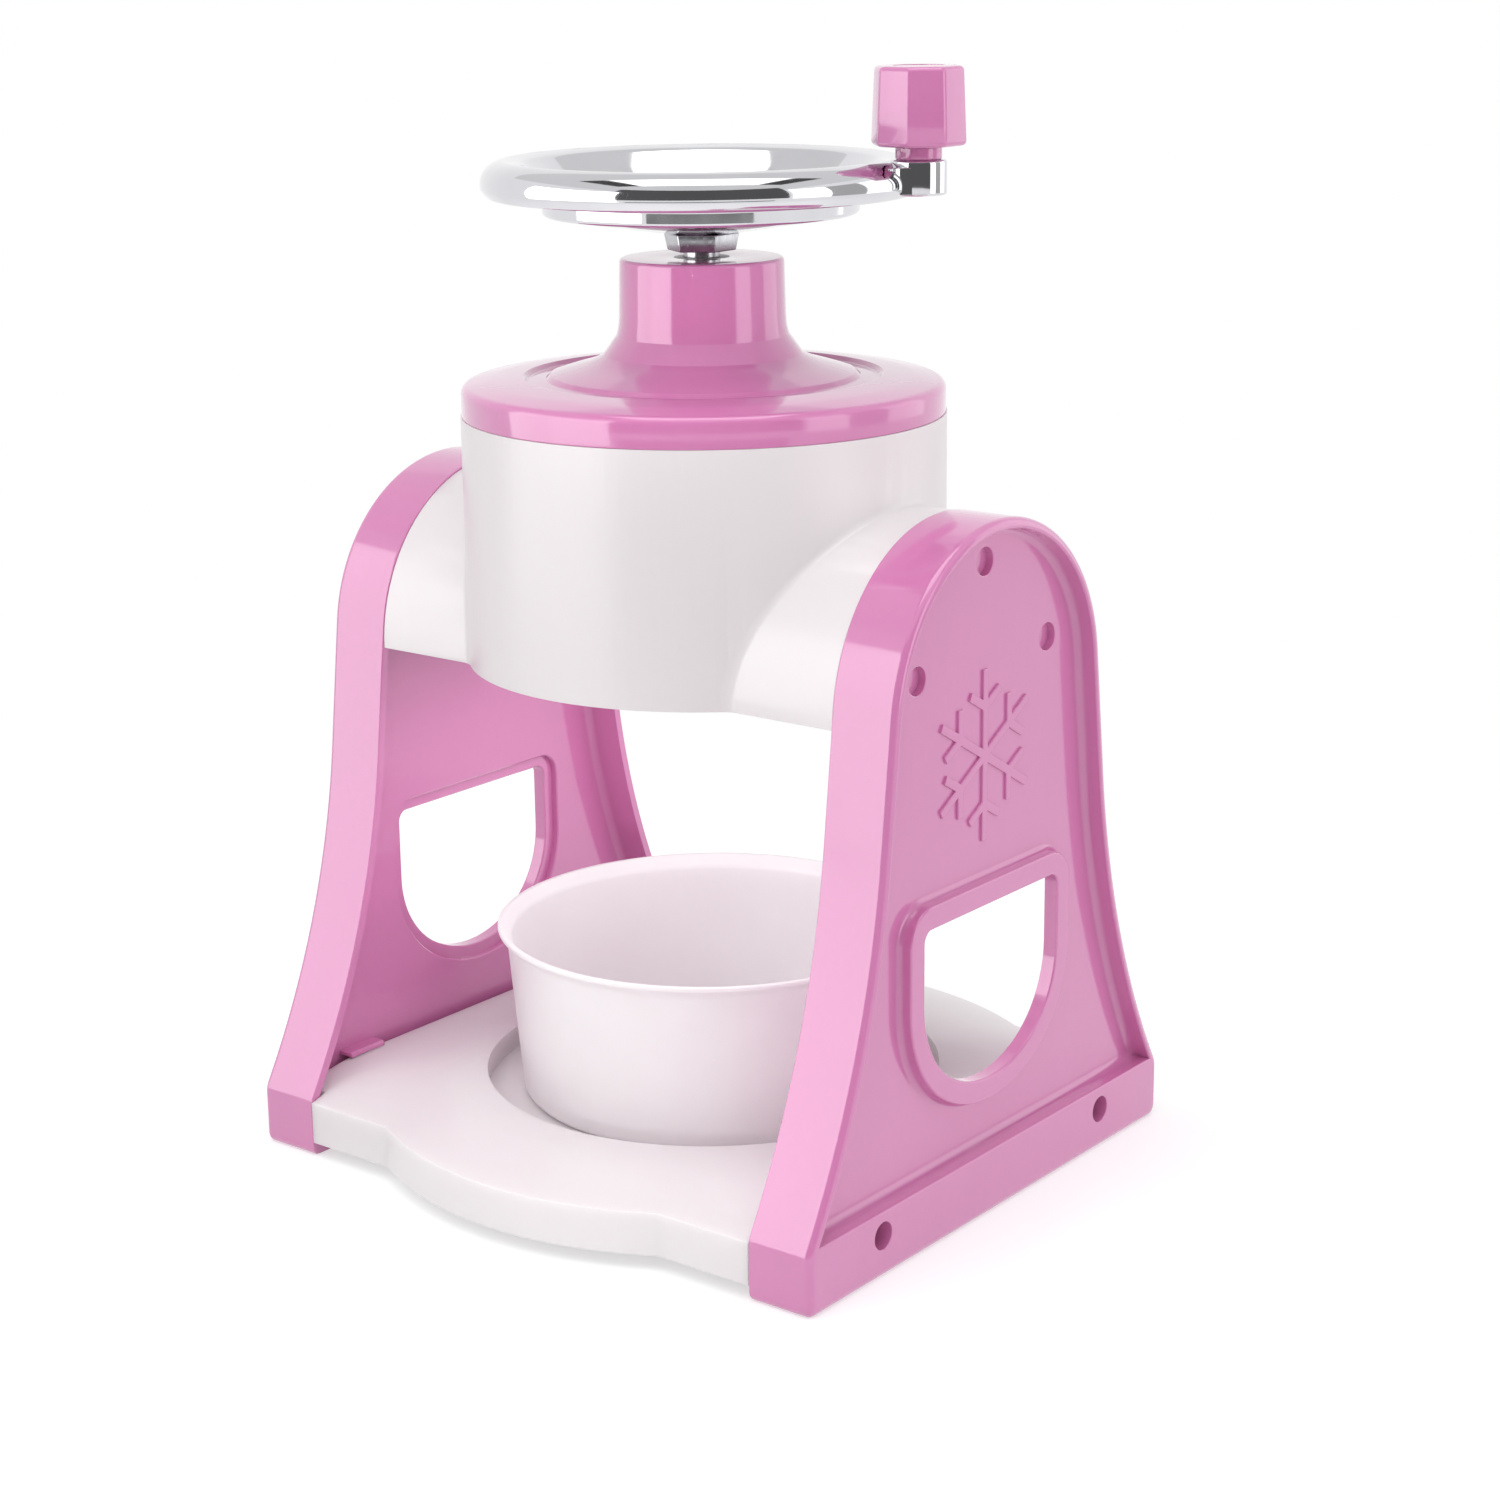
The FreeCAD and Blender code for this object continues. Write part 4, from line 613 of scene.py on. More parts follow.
def frosted_plastic(name, colour):
    """Milky plastic that lets light through."""
    surface = Surface(name, colour, roughness=0.36, IOR=1.45, Transmission_Weight=0.1,
                      Subsurface_Weight=0.7, Subsurface_Radius=MILKY_DEPTH,
                      Subsurface_Scale=4 * MM)
    surface.mottle(surface.pattern(size=26, detail=3), darker=0.97)
    surface.roughen(surface.pattern(size=6, detail=4), low=0.30, high=0.42)
    surface.relief(surface.pattern(size=0.5, detail=3), height=0.003)


def plated_metal(name, colour):
    """Bright plating over a casting that isn't quite even."""
    surface = Surface(name, colour, roughness=0.05, Metallic=1.0)
    surface.mottle(surface.pattern(size=18, detail=3), darker=0.93)
    surface.roughen(surface.pattern(size=7, detail=5), low=0.03, high=0.09)
    surface.relief(surface.pattern(size=16, detail=1), height=0.03)
    surface.relief(surface.pattern(size=1.6, detail=3), height=0.0008)


def worked_metal(name, colour, roughness, streak=(1, 1, 1)):
    """Steel with the marks of its drawing or grinding."""
    smoother, rougher = 0.7, 1.4
    surface = Surface(name, colour, roughness, Metallic=1.0)
    surface.mottle(surface.pattern(size=3.5, detail=4), darker=0.86)
    surface.roughen(surface.pattern(size=0.8, detail=3, stretch=streak),
                    roughness * smoother, roughness * rougher)
    surface.relief(surface.pattern(size=0.5, stretch=streak), height=0.002)


# ---------------------------------------------------------------------------
# Outlines. A corner is (across, up) or (across, up, rounding), in millimetres.
# ---------------------------------------------------------------------------

SIDES = ((1, "right"), (-1, "left"))
SPINDLE_BORE = 4.03
PIN_BORE = 3.03
SMALL_SIDES = 96


def middle_of(node):
    """The middle of a node in plan."""
    return (FOOT_OF[node].xy + TOP_OF[node].xy) / 2


def lid_outline():
    """Half section of the lid: spigot, skirt, dome with its groove, and neck."""
    rim, neck_top = TOP_OF["lid"].x, TOP_OF["lid"].z
    foot, skirt = FOOT_OF["lid"].z, TOP_OF["ice_hopper"].z
    seam, spigot, wall, neck = skirt + 0.02, rim - 2.28, 2.5, 21.0
    shoulder = skirt + 7.6
    dome = shoulder + 2.2
    bush, bush_foot, flare_top = 7.03, neck_top - 3, 223.0
    spigot_corners = [(spigot - wall, foot, 0.6), (spigot, foot, 0.6), (spigot, seam)]
    skirt_corners = [(rim, seam, 0.25), (rim, shoulder + 0.1, 2.2), (54.0, shoulder + 1.35, 40)]
    groove_corners = [(46.2, dome - 0.15, 0.5), (45.0, dome - 1.25, 0.6),
                      (40.4, dome - 0.85, 0.6), (39.2, dome + 0.25, 0.5)]
    dome_end = (31.0, 210.4)
    outside = round_corners(spigot_corners + skirt_corners + groove_corners + [dome_end])[:-1]
    flare = sweep_curve((34.0, 209.75), (27.0, 211.6), (21.6, 213.2), (neck + 0.35, flare_top))
    neck_corners = [(neck, neck_top, 1.1), (bush, neck_top, 0.25), (bush, bush_foot),
                    (neck - wall, bush_foot, 0.8), (neck - wall, flare_top, 6)]
    under_corners = [(30.0, 206.9, 6), (37.0, 205.6), (38.0, 204.3), (47.0, 203.9),
                     (48.2, 205.0), (rim - 5, 203.6, 1.0)]
    crown = round_corners([flare[-1]] + neck_corners + under_corners)
    return outside + flare[:-1] + crown


def bowl_outline():
    """Half section of the bowl, from the middle of its foot over the lip to the inside."""
    base, top, lip = FOOT_OF["bowl"].z, TOP_OF["bowl"].z, TOP_OF["bowl"].x
    wall, foot, mouth, hollow = 1.4, 51.5, lip - 2.3, base + 0.5
    foot_corners = [(0, hollow), (40.0, hollow, 1.0), (41.0, base, 0.6), (foot, base, 3.0)]
    lip_corners = [(mouth, top - 3.2, 3.0), (lip, top - 1.1, 0.3), (lip, top, 0.35),
                   (lip - 1.3, top, 0.3)]
    inside_corners = [(mouth - wall, top - 3.0, 3.0), (foot - wall, base + wall, 2.4),
                      (0, base + wall)]
    return round_corners(foot_corners + lip_corners + inside_corners)


def wheel_outline():
    """Half section of the crank wheel, drawn with heights above its seat on the hub."""
    base = FOOT_OF["handwheel"].z
    rim_start, rim_end = (55.5, 11.6), (49.5, 18.75)
    under = round_corners([
        (SPINDLE_BORE, 0), (8.7, 0), (40.2, 4.9, 1.2), (40.4, 9.2, 1.2), (53.9, 9.6, 1.0),
        rim_start])
    roll = sweep_curve(rim_start, (56.3, 15.2), (53.8, 18.4), rim_end)[1:]
    dish = round_corners([
        rim_end, (45.2, 17.9, 3.0), (39.0, 11.8, 3.0), (36.0, 7.5, 3.0), (12.2, 3.4, 2.0),
        (10.0, 5.5, 1.0), (SPINDLE_BORE, 5.5, 0.3)])[1:]
    return [Vector((across, base + up)) for across, up in under + roll + dish]


# ---------------------------------------------------------------------------
# Shapes that aren't turned
# ---------------------------------------------------------------------------

def quarter(radius, steps=5):
    """A quarter round as (along, across), both counted from where it starts."""
    angles = [math.radians(90 * step / steps) for step in range(steps + 1)]
    return [(radius * math.sin(a), radius * (1 - math.cos(a))) for a in angles]


def rounded_polygon(sides, flats, rounding, height, centre):
    """A ring of points round a regular polygon, given by its width across the flats."""
    corner_steps = 5
    reach = flats / 2 / math.cos(math.pi / sides)
    corners = [(reach * math.cos((k + 0.5) * 2 * math.pi / sides),
                reach * math.sin((k + 0.5) * 2 * math.pi / sides), rounding)
               for k in range(sides)]
    return [(centre[0] + x, centre[1] + y, height)
            for x, y in round_corners(corners, corner_steps)]


def matching_circle(ring, radius, height, centre):
    """A round ring with as many points as another, and in line with them."""
    points = []
    for x, y, _ in ring:
        angle = math.atan2(y - centre[1], x - centre[0])
        points.append((centre[0] + radius * math.cos(angle),
                       centre[1] + radius * math.sin(angle), height))
    return points


def polygon_block(name, node, sides, low_flats, high_flats, rounding, end_rounding, hole,
                  centre=(0, 0)):
    """A block as high as a node, from one width across the flats up to another. Its ends are
    rounded and it has a hole."""
    bottom, top = FOOT_OF[node].z, TOP_OF[node].z
    upward, downward = 1, -1
    ends = (((90, 60, 30, 0), low_flats, bottom, upward),
            ((0, 30, 60, 90), high_flats, top, downward))
    rings = []
    for angles, flats, end, inward in ends:
        for angle in angles:
            turn = math.radians(angle)
            across = flats - 2 * end_rounding * (1 - math.cos(turn))
            height = end + inward * end_rounding * (1 - math.sin(turn))
            corner = min(rounding, across / 4)
            rings.append(rounded_polygon(sides, across, corner, height, centre))
    rings += [matching_circle(rings[0], hole, height, centre) for height in (top, bottom)]
    return show(name, skin(name, rings, wrap=True))


# Side panel: an arch on sloping flanks that flare out to an upright foot.
# These are distances out from the middle of the machine, the first one to the outer face.
OUTER = 92.5
BORDER_TOP = 90.5
RECESS = 86.9
BORDER_BACK = 86.3
WEB = 84.4
INNER = 74.0

# These are sizes in the panel's own plane: half the foot's width and its height, how thick the
# rim is, how high the recess and the hollow behind it start, the arch with its flanks, and the
# window with its border.
FOOT = 80.2
FOOT_TOP = 16.0
WALL = 2.8
LEDGE = 17.3
FLANGE = 4.0
ARCH = 45.8
ARCH_HEIGHT = 134.0
SLOPE = math.radians(6.8)
WAIST = 105.0
WINDOW_HALF = 30.0
WINDOW_TOP = 82.5
WINDOW_BOTTOM = 36.2
WINDOW_CORNER = 3.0
WINDOW_SIDE = 26.0
WINDOW_FLOOR = 34.0
BORDER = 6.0

# These are the rounding of its lips, and of its hollow corners.
LIP = 0.6
HOLLOW = 2.1

# Screws as (along, up). A group also has the face that its holes are in, and how far out from
# the middle the holes' seats are and the ends of the bosses round them.
UPPER_SCREWS = ((0, 168.8), (28.8, 144.6), (-28.8, 144.6))
BASE_SCREWS = ((50.2, 11.0), (-50.2, 11.0))
SCREW_GROUPS = ((UPPER_SCREWS, RECESS, 79.6, 77.1), (BASE_SCREWS, OUTER, 84.1, 81.6))
HOLE = 3.5
BOSS = 5.5


def flare_arc():
    """Centre and radius of the arc that flares from the waist out to the foot."""
    reach = Vector((math.cos(SLOPE), math.sin(SLOPE)))
    shoulder = Vector((0, ARCH_HEIGHT)) + reach * ARCH
    waist = Vector((shoulder.x + (shoulder.y - WAIST) * math.tan(SLOPE), WAIST))
    across = Vector((FOOT, FOOT_TOP)) - waist
    radius = across.length_squared / (2 * reach.dot(across))
    return waist + reach * radius, radius


def panel_ring(x, inset, bottom):
    """The panel's outline drawn in by an inset and cut off level at the bottom."""
    soft, soft_steps = 1.5, 4
    toe, toe_steps = 2.2, 4
    flare_steps, arch_steps = 28, 36
    centre, radius = flare_arc()
    radius += inset
    edge = FOOT - inset

    def on_flare(height):
        return Vector((centre.x - math.sqrt(radius ** 2 - (height - centre.y) ** 2), height))

    kink = centre.y - math.sqrt(radius ** 2 - (centre.x - edge) ** 2)
    if bottom < kink - soft:
        lowest = on_flare(kink + soft)
        start, bend = Vector((edge, kink - soft)), Vector((edge, kink))
        half = arc_points((edge - toe, bottom + toe), toe, -90, 0, toe_steps)
        for step in range(soft_steps):
            t = step / soft_steps
            half.append(start * (1 - t) ** 2 + bend * 2 * t * (1 - t) + lowest * t * t)
    else:
        lowest = on_flare(bottom)
        half = [lowest] * (soft_steps + toe_steps + 1)
    first = 180 + math.degrees(math.asin((centre.y - lowest.y) / radius))
    slope = math.degrees(SLOPE)
    half += arc_points(centre, radius, first, 180 + slope, flare_steps)
    half += arc_points((0, ARCH_HEIGHT), ARCH - inset, slope, 90, arch_steps)
    other = [Vector((-p.x, p.y)) for p in reversed(half[:-1])]
    return [(x, p.x, p.y) for p in half + other]


def window_ring(x, grow):
    """The window, flat on top and basket shaped below, grown by a margin."""
    floor_steps, side_steps, corner_steps = 10, 16, 8
    half, side, floor = WINDOW_HALF + grow, WINDOW_SIDE + grow, WINDOW_FLOOR + grow
    centre = WINDOW_BOTTOM + WINDOW_FLOOR
    inner, between = WINDOW_HALF - WINDOW_SIDE, WINDOW_FLOOR - WINDOW_SIDE
    drop = math.sqrt(between ** 2 - inner ** 2)
    lean = math.degrees(math.atan2(drop, inner))
    corner, top = WINDOW_CORNER + grow, WINDOW_TOP + grow
    line = arc_points((0, centre), floor, -90, -lean, floor_steps)
    line += arc_points((inner, centre - drop), side, -lean, 0, side_steps)
    line += arc_points((half - corner, top - corner), corner, 0, 90, corner_steps)
    line += [Vector((-p.x, p.y)) for p in reversed(line[1:])]
    return [(x, p.x, p.y) for p in line]


def round_ring(x, y, z, radius):
    """A ring round a screw's axis."""
    steps = 40
    return [(x, p.x, p.y) for p in arc_points((y, z), radius, 0, 360, steps)[:-1]]


def rim_rings():
    """From the web along the inside of the rim, and over its edge to the outer face."""
    inside_soft, soft, less_soft, edge = 0.3, 0.5, 0.15, 2.0
    rings = [panel_ring(WEB - HOLLOW + up, WALL + aside, FLANGE + aside)
             for up, aside in reversed(quarter(HOLLOW))]
    rings += [panel_ring(INNER, WALL - inside_soft, FLANGE - inside_soft),
              panel_ring(INNER, soft, soft),
              panel_ring(INNER + less_soft, less_soft, less_soft),
              panel_ring(INNER + soft, 0, 0)]
    return rings + [panel_ring(OUTER - edge + up, aside, aside) for up, aside in quarter(edge)]


def recess_rings():
    """From the outer face over its lip and down to the recess."""
    rings = [panel_ring(OUTER - LIP + up, WALL - aside, LEDGE - aside)
             for up, aside in reversed(quarter(LIP))]
    return rings + [panel_ring(RECESS + HOLLOW - up, WALL + aside, LEDGE + aside)
                    for up, aside in quarter(HOLLOW)]


def window_rings():
    """From the recess over the window's border, and through the window to the web."""
    toe, soft, back = 1.8, 0.3, BORDER - 2.5
    rings = [window_ring(RECESS + toe - up, BORDER + aside)
             for up, aside in reversed(quarter(toe))]
    rings += [window_ring(BORDER_TOP - LIP + up, BORDER - aside) for up, aside in quarter(LIP)]
    rings += [window_ring(BORDER_TOP - LIP + up, aside) for up, aside in reversed(quarter(LIP))]
    return rings + [window_ring(BORDER_BACK + soft, 0), window_ring(BORDER_BACK, soft),
                    window_ring(BORDER_BACK, back), window_ring(WEB + soft, back),
                    window_ring(WEB, back + soft)]


def screw_hole_rings(face, seat, y, z):
    """A screw's hole with a softened mouth, closed at its seat."""
    soft, less_soft = 0.4, 0.12
    return [round_ring(face, y, z, HOLE + soft),
            round_ring(face - less_soft, y, z, HOLE + less_soft),
            round_ring(face - soft, y, z, HOLE), round_ring(seat, y, z, HOLE), [(seat, y, z)]]


def boss_rings(end, y, z):
    """A screw's boss, from inside the web to its softened end."""
    root, soft = WEB + 0.5, 0.3
    return [[(root, y, z)], round_ring(root, y, z, BOSS), round_ring(end + soft, y, z, BOSS),
            round_ring(end, y, z, BOSS - soft), [(end, y, z)]]


def tab_rings():
    """The locating tab behind the web, level and with its ends a little pinched."""
    root, middle = WEB + 0.5, Vector((82.35, 20.95))
    section = ((79.8, 20.3), (root, 20.3), (root, 21.6), (80.4, 21.6), (79.8, 21.0))
    first, last, soft, pinched = -59.0, -46.0, 0.3, 1 - 0.3
    rings = [[(middle.x, first, middle.y)]]
    for y, size in ((first, pinched), (first + soft, 1), (last - soft, 1), (last, pinched)):
        rings.append([(middle.x + (x - middle.x) * size, y, middle.y + (z - middle.y) * size)
                      for x, z in section])
    return rings + [[(middle.x, last, middle.y)]]


def side_panel(name, side):
    """One side panel as strips between rings, with the flats filled in between them."""
    shape = bmesh.new()

    def add(rings):
        add_strip(shape, [[(side * x, y, z) for x, y, z in ring] for ring in rings])

    for rings in (rim_rings(), recess_rings(), window_rings()):
        add(rings)
    for places, face, seat, _ in SCREW_GROUPS:
        for y, z in places:
            add(screw_hole_rings(face, seat, y, z))
    bmesh.ops.remove_doubles(shape, verts=shape.verts, dist=WELD)
    for flat in (OUTER, RECESS, WEB):
        level = side * flat * MM
        border = [e for e in shape.edges if e.is_boundary
                  and all(abs(v.co.x - level) < WELD for v in e.verts)]
        bmesh.ops.triangle_fill(shape, use_beauty=True, edges=border, normal=(side, 0, 0))
    for places, _, _, end in SCREW_GROUPS:
        for y, z in places:
            add(boss_rings(end, y, z))
    add(tab_rings())
    bmesh.ops.recalc_face_normals(shape, faces=shape.faces)
    return plain_mesh(name, shape)


# A plain snow crystal in relief on each side panel. Its foot is sunk in the panel.
CRYSTAL_ARMS = 6
CRYSTAL_LENGTH = 22
CRYSTAL_WIDTH = 2.3
CRYSTAL_HEIGHT = 120.0
CRYSTAL_PROUD = 0.7
CRYSTAL_SUNK = 0.3
CRYSTAL_SOFTNESS = 0.28
BRANCH_START = 12.4
BRANCH_LENGTH = 7.6


def crystal_arm():
    """One arm of a snow crystal, with a branch on either side, flat in Y and Z."""
    half = CRYSTAL_WIDTH / 2
    sine, cosine = math.sin(math.radians(60)), 0.5
    # Where a branch's two sides leave the arm, and where its end is.
    below, above = half * 0.577, half * 1.732
    out, up = BRANCH_LENGTH * sine, BRANCH_START + BRANCH_LENGTH * cosine
    side = [(half, half / math.tan(math.radians(30))), (half, BRANCH_START - below),
            (out + half * cosine, up - half * sine), (out - half * cosine, up + half * sine),
            (half, BRANCH_START + above), (half, CRYSTAL_LENGTH)]
    outline = [(0, 0)] + side + [(-y, z) for y, z in reversed(side)]
    shape = bmesh.new()
    shape.faces.new([shape.verts.new(Vector((0, y, z)) * MM) for y, z in outline])
    return plain_mesh("crystal", shape)


def arm_fillet(side, radius):
    """The soft fillet where an arm's half round meets the hopper's wall."""
    hopper, arm, sunk = 62.5, 45.4, 0.3
    around, round_steps = 72, 8

    def on_wall(out, reach, off):
        """A point that far from the arm's axis, and that far off the hopper's wall."""
        y = reach * out.y
        return Vector((side * (math.sqrt(hopper * hopper - y * y) + off), y,
                       ARCH_HEIGHT + reach * out.z))

    rings = []
    for step in range(around + 1):
        lean = math.radians(-90 + 180 * step / around)
        out = Vector((0, math.sin(lean), math.cos(lean)))
        ring = [on_wall(out, arm + aside, radius - up)
                for up, aside in quarter(radius, round_steps)]
        ring += [on_wall(out, arm + radius, -sunk), on_wall(out, arm - sunk, -sunk),
                 on_wall(out, arm - sunk, radius)]
        rings.append(ring)
    return skin("fillet", rings, capped=True)


# ---------------------------------------------------------------------------
# Operators, one for each piece or group of pieces
# ---------------------------------------------------------------------------

class PieceOperator:
    """What all the operators share."""
    bl_options = {"REGISTER"}

    def execute(self, context):
        self.build(context.scene.ice_shaver)
        return {"FINISHED"}


class BuildFinishes(PieceOperator, bpy.types.Operator):
    """Mix the plastics and metals"""
    bl_idname = "ice_shaver.finishes"
    bl_label = "Finishes"

    def build(self, settings):
        colours = settings.colours
        moulded_plastic("pink_plastic", colours.pink, gloss=0.12, coat=0.7)
        moulded_plastic("white_plastic", colours.white, gloss=0.3, unevenness=0.35)
        moulded_plastic("milky_plastic", colours.tray, gloss=0.3, unevenness=0.35, milkiness=0.8)
        frosted_plastic("frosted_plastic", colours.frosted)
        moulded_plastic("plate_plastic", colours.plate, gloss=0.4)
        moulded_plastic("bush_plastic", colours.bush, gloss=0.35)
        plated_metal("chrome", colours.chrome)
        worked_metal("stainless_steel", colours.steel, roughness=0.22, streak=(1, 1, 0.12))
        worked_metal("screw_steel", colours.screw, roughness=0.3)


class BuildPanels(PieceOperator, bpy.types.Operator):
    """Build the two arched side panels"""
    bl_idname = "ice_shaver.panels"
    bl_label = "Side panels"

    def build(self, settings):
        tree = bpy.data.node_groups.get("Snow crystal") or crystal_tree()
        for side, word in SIDES:
            panel = show(f"{word}_panel", side_panel(f"{word}_panel", side))
            even = panel.modifiers.new("Even flats", "WEIGHTED_NORMAL")
            even.mode = "FACE_AREA_WITH_ANGLE"
            even.keep_sharp = True
            fit(panel, "pink_plastic", "frame", f"{word}_side_panel")
            crystal = grow(f"{word}_crystal", tree, crystal_arm(), "pink_plastic",
                           arms=CRYSTAL_ARMS, height=side * (CRYSTAL_PROUD + CRYSTAL_SUNK) * MM)
            place = Vector((side * (RECESS - CRYSTAL_SUNK), 0, CRYSTAL_HEIGHT)) * MM
            crystal.data.transform(Matrix.Translation(place))
            soften(crystal, CRYSTAL_SOFTNESS * MM)
            fit(crystal, "pink_plastic", "frame", f"{word}_side_panel")


class BuildTray(PieceOperator, bpy.types.Operator):
    """Build the base tray"""
    bl_idname = "ice_shaver.tray"
    bl_label = "Base tray"

    def build(self, settings):
        tray = frame_copy("tray", "base_tray")
        soften(tray, settings.sizes.tray_softness, segments=3)
        fit(tray, "white_plastic", "frame", "base_tray")
        # Its white finish is swapped for the milky one, which takes in more light than the
        # hopper's does.
        tray.data.materials[0] = finishes["milky_plastic"]


class BuildHopper(PieceOperator, bpy.types.Operator):
    """Build the ice hopper and the fillets at its arms"""
    bl_idname = "ice_shaver.hopper"
    bl_label = "Ice hopper"

    def build(self, settings):
        thin_wall_share = 0.6
        hopper = frame_copy("hopper", "ice_hopper")
        soften(hopper, settings.sizes.edge_softness * thin_wall_share)
        fit(hopper, "white_plastic", "frame", "ice_hopper")
        radius = settings.sizes.junction_radius / MM
        for side, word in SIDES:
            fillet = show(f"{word}_arm_fillet", arm_fillet(side, radius))
            fillet.data.materials.append(finishes["white_plastic"])
            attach(fillet, "frame")


class BuildLid(PieceOperator, bpy.types.Operator):
    """Build the lid and the bush in its neck"""
    bl_idname = "ice_shaver.lid"
    bl_label = "Lid"

    def build(self, settings):
        lid = turned("lid_cover", "pink_plastic", lid_outline(), closed=True)
        fit(lid, "pink_plastic", "lid", "lid")
        dress("spindle_bush", "bush_plastic")


class BuildBowl(PieceOperator, bpy.types.Operator):
    """Build the frosted bowl"""
    bl_idname = "ice_shaver.bowl"
    bl_label = "Bowl"

    def build(self, settings):
        bowl = turned("ice_bowl", "frosted_plastic", bowl_outline())
        fit(bowl, "frosted_plastic", "bowl", "bowl")


class BuildWheel(PieceOperator, bpy.types.Operator):
    """Build the crank wheel with its ear, hub and nut"""
    bl_idname = "ice_shaver.wheel"
    bl_label = "Crank wheel"

    def build(self, settings):
        wheel_sides = 256
        wheel = turned("crank_wheel", "chrome", wheel_outline(), closed=True, sides=wheel_sides)
        fit(wheel, "chrome", "wheel", "handwheel")
        hub = polygon_block("hub_block", "wheel_hub", sides=6, low_flats=15.4, high_flats=16.8,
                            rounding=0.5, end_rounding=0.35, hole=SPINDLE_BORE)
        fit(hub, "stainless_steel", "wheel", "wheel_hub")
        nut = polygon_block("clamp_nut", "wheel_nut", sides=6, low_flats=13.0, high_flats=13.0,
                            rounding=0.4, end_rounding=0.6, hole=SPINDLE_BORE)
        fit(nut, "chrome", "wheel", "wheel_nut")
        self.build_ear()

    def build_ear(self):
        """A round boss beside the rim, joined to it by a web with hollow sides."""
        # Radii: the rim, the circle that the boss stands on, the boss and the web's hollows.
        rim, circle, boss, hollow = 54.0, 57.0, 7.0, 5.0
        hollow_steps = 12
        centre = middle_of("knob_pin")
        bottom, top = FOOT_OF["knob_pin"].z, FOOT_OF["knob_spacer"].z
        section = round_corners([(PIN_BORE, bottom, 0.3), (boss, bottom, 0.7), (boss, top, 0.7),
                                 (PIN_BORE, top, 0.3)])
        ear = turned("wheel_ear", "chrome", section, closed=True, centre=centre,
                     sides=SMALL_SIDES)
        fit(ear, "chrome", "wheel", "handwheel")
        along = (circle ** 2 + (rim + hollow) ** 2 - (boss + hollow) ** 2) / (2 * circle)
        aside = math.sqrt((rim + hollow) ** 2 - along ** 2)
        to_boss = math.degrees(math.atan2(-aside, circle - along))
        to_rim = math.degrees(math.atan2(-aside, -along))
        root, tip = Vector((46.0, 9.0)), Vector((circle, boss - 0.4))
        plan = [root] + arc_points((along, aside), hollow, to_rim, to_boss, hollow_steps) + [tip]
        plan += [Vector((p.x, -p.y)) for p in reversed(plan)]
        turn = Matrix.Rotation(math.atan2(centre.y, centre.x), 2)
        web_foot, web_top, softness = bottom + 0.3, top - 1.6, 0.6
        web = show("ear_web", slab("ear_web", [turn @ p for p in plan], web_foot, web_top))
        soften(web, softness * MM, segments=3)
        fit(web, "chrome", "wheel", "handwheel")


class BuildKnob(PieceOperator, bpy.types.Operator):
    """Build the eight sided knob, its cap, pin and spacer"""
    bl_idname = "ice_shaver.knob"
    bl_label = "Knob"

    def build(self, settings):
        seam, cap_radius, spacer_radius, soft = 0.12, 6.5, 5.8, 0.4
        centre = middle_of("knob")
        knob = polygon_block("crank_knob", "knob", sides=8, low_flats=22.3, high_flats=21.0,
                             rounding=2.0, end_rounding=settings.sizes.knob_rounding / MM,
                             hole=cap_radius + seam, centre=centre)
        fit(knob, "pink_plastic", "knob", "knob")
        cap_foot, cap_top = TOP_OF["knob_cap"].z - 1.8, TOP_OF["knob_cap"].z - 0.05
        cap = round_corners([(0, cap_foot), (cap_radius, cap_foot), (cap_radius, cap_top, soft),
                             (0, cap_top)])
        disc = turned("knob_plug", "pink_plastic", cap, centre=centre, sides=SMALL_SIDES)
        fit(disc, "pink_plastic", "knob", "knob_cap")
        low, high = FOOT_OF["knob_spacer"].z, TOP_OF["knob_spacer"].z
        collar = round_corners([(PIN_BORE, low), (spacer_radius, low, soft),
                                (spacer_radius, high, soft), (PIN_BORE, high)])
        spacer = turned("knob_collar", "pink_plastic", collar, closed=True, centre=centre,
                        sides=SMALL_SIDES)
        fit(spacer, "pink_plastic", "wheel", "knob_spacer")
        dress("knob_pin", "stainless_steel")


class BuildSpindle(PieceOperator, bpy.types.Operator):
    """Build the spindle and the pieces on it"""
    bl_idname = "ice_shaver.spindle"
    bl_label = "Spindle and spring"

    def build(self, settings):
        softness = 0.25
        spindle = frame_copy("drive_spindle", "spindle")
        soften(spindle, softness * MM)
        fit(spindle, "stainless_steel", "wheel", "spindle")
        for node in ("spring_washer", "end_washer", "end_screw"):
            dress(node, "screw_steel")
        wire = settings.sizes.wire_radius
        low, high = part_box("pressure_spring")
        spring = grow("coil_spring", spring_tree(), points_mesh("coil_spring"),
                      "stainless_steel", coil_radius=high.x - wire, wire_radius=wire,
                      height=high.z - low.z - 2 * wire, turns=settings.sizes.spring_turns)
        spring.data.transform(Matrix.Translation((0, 0, low.z + wire)))
        fit(spring, "stainless_steel", "wheel", "pressure_spring")
        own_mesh(spring)


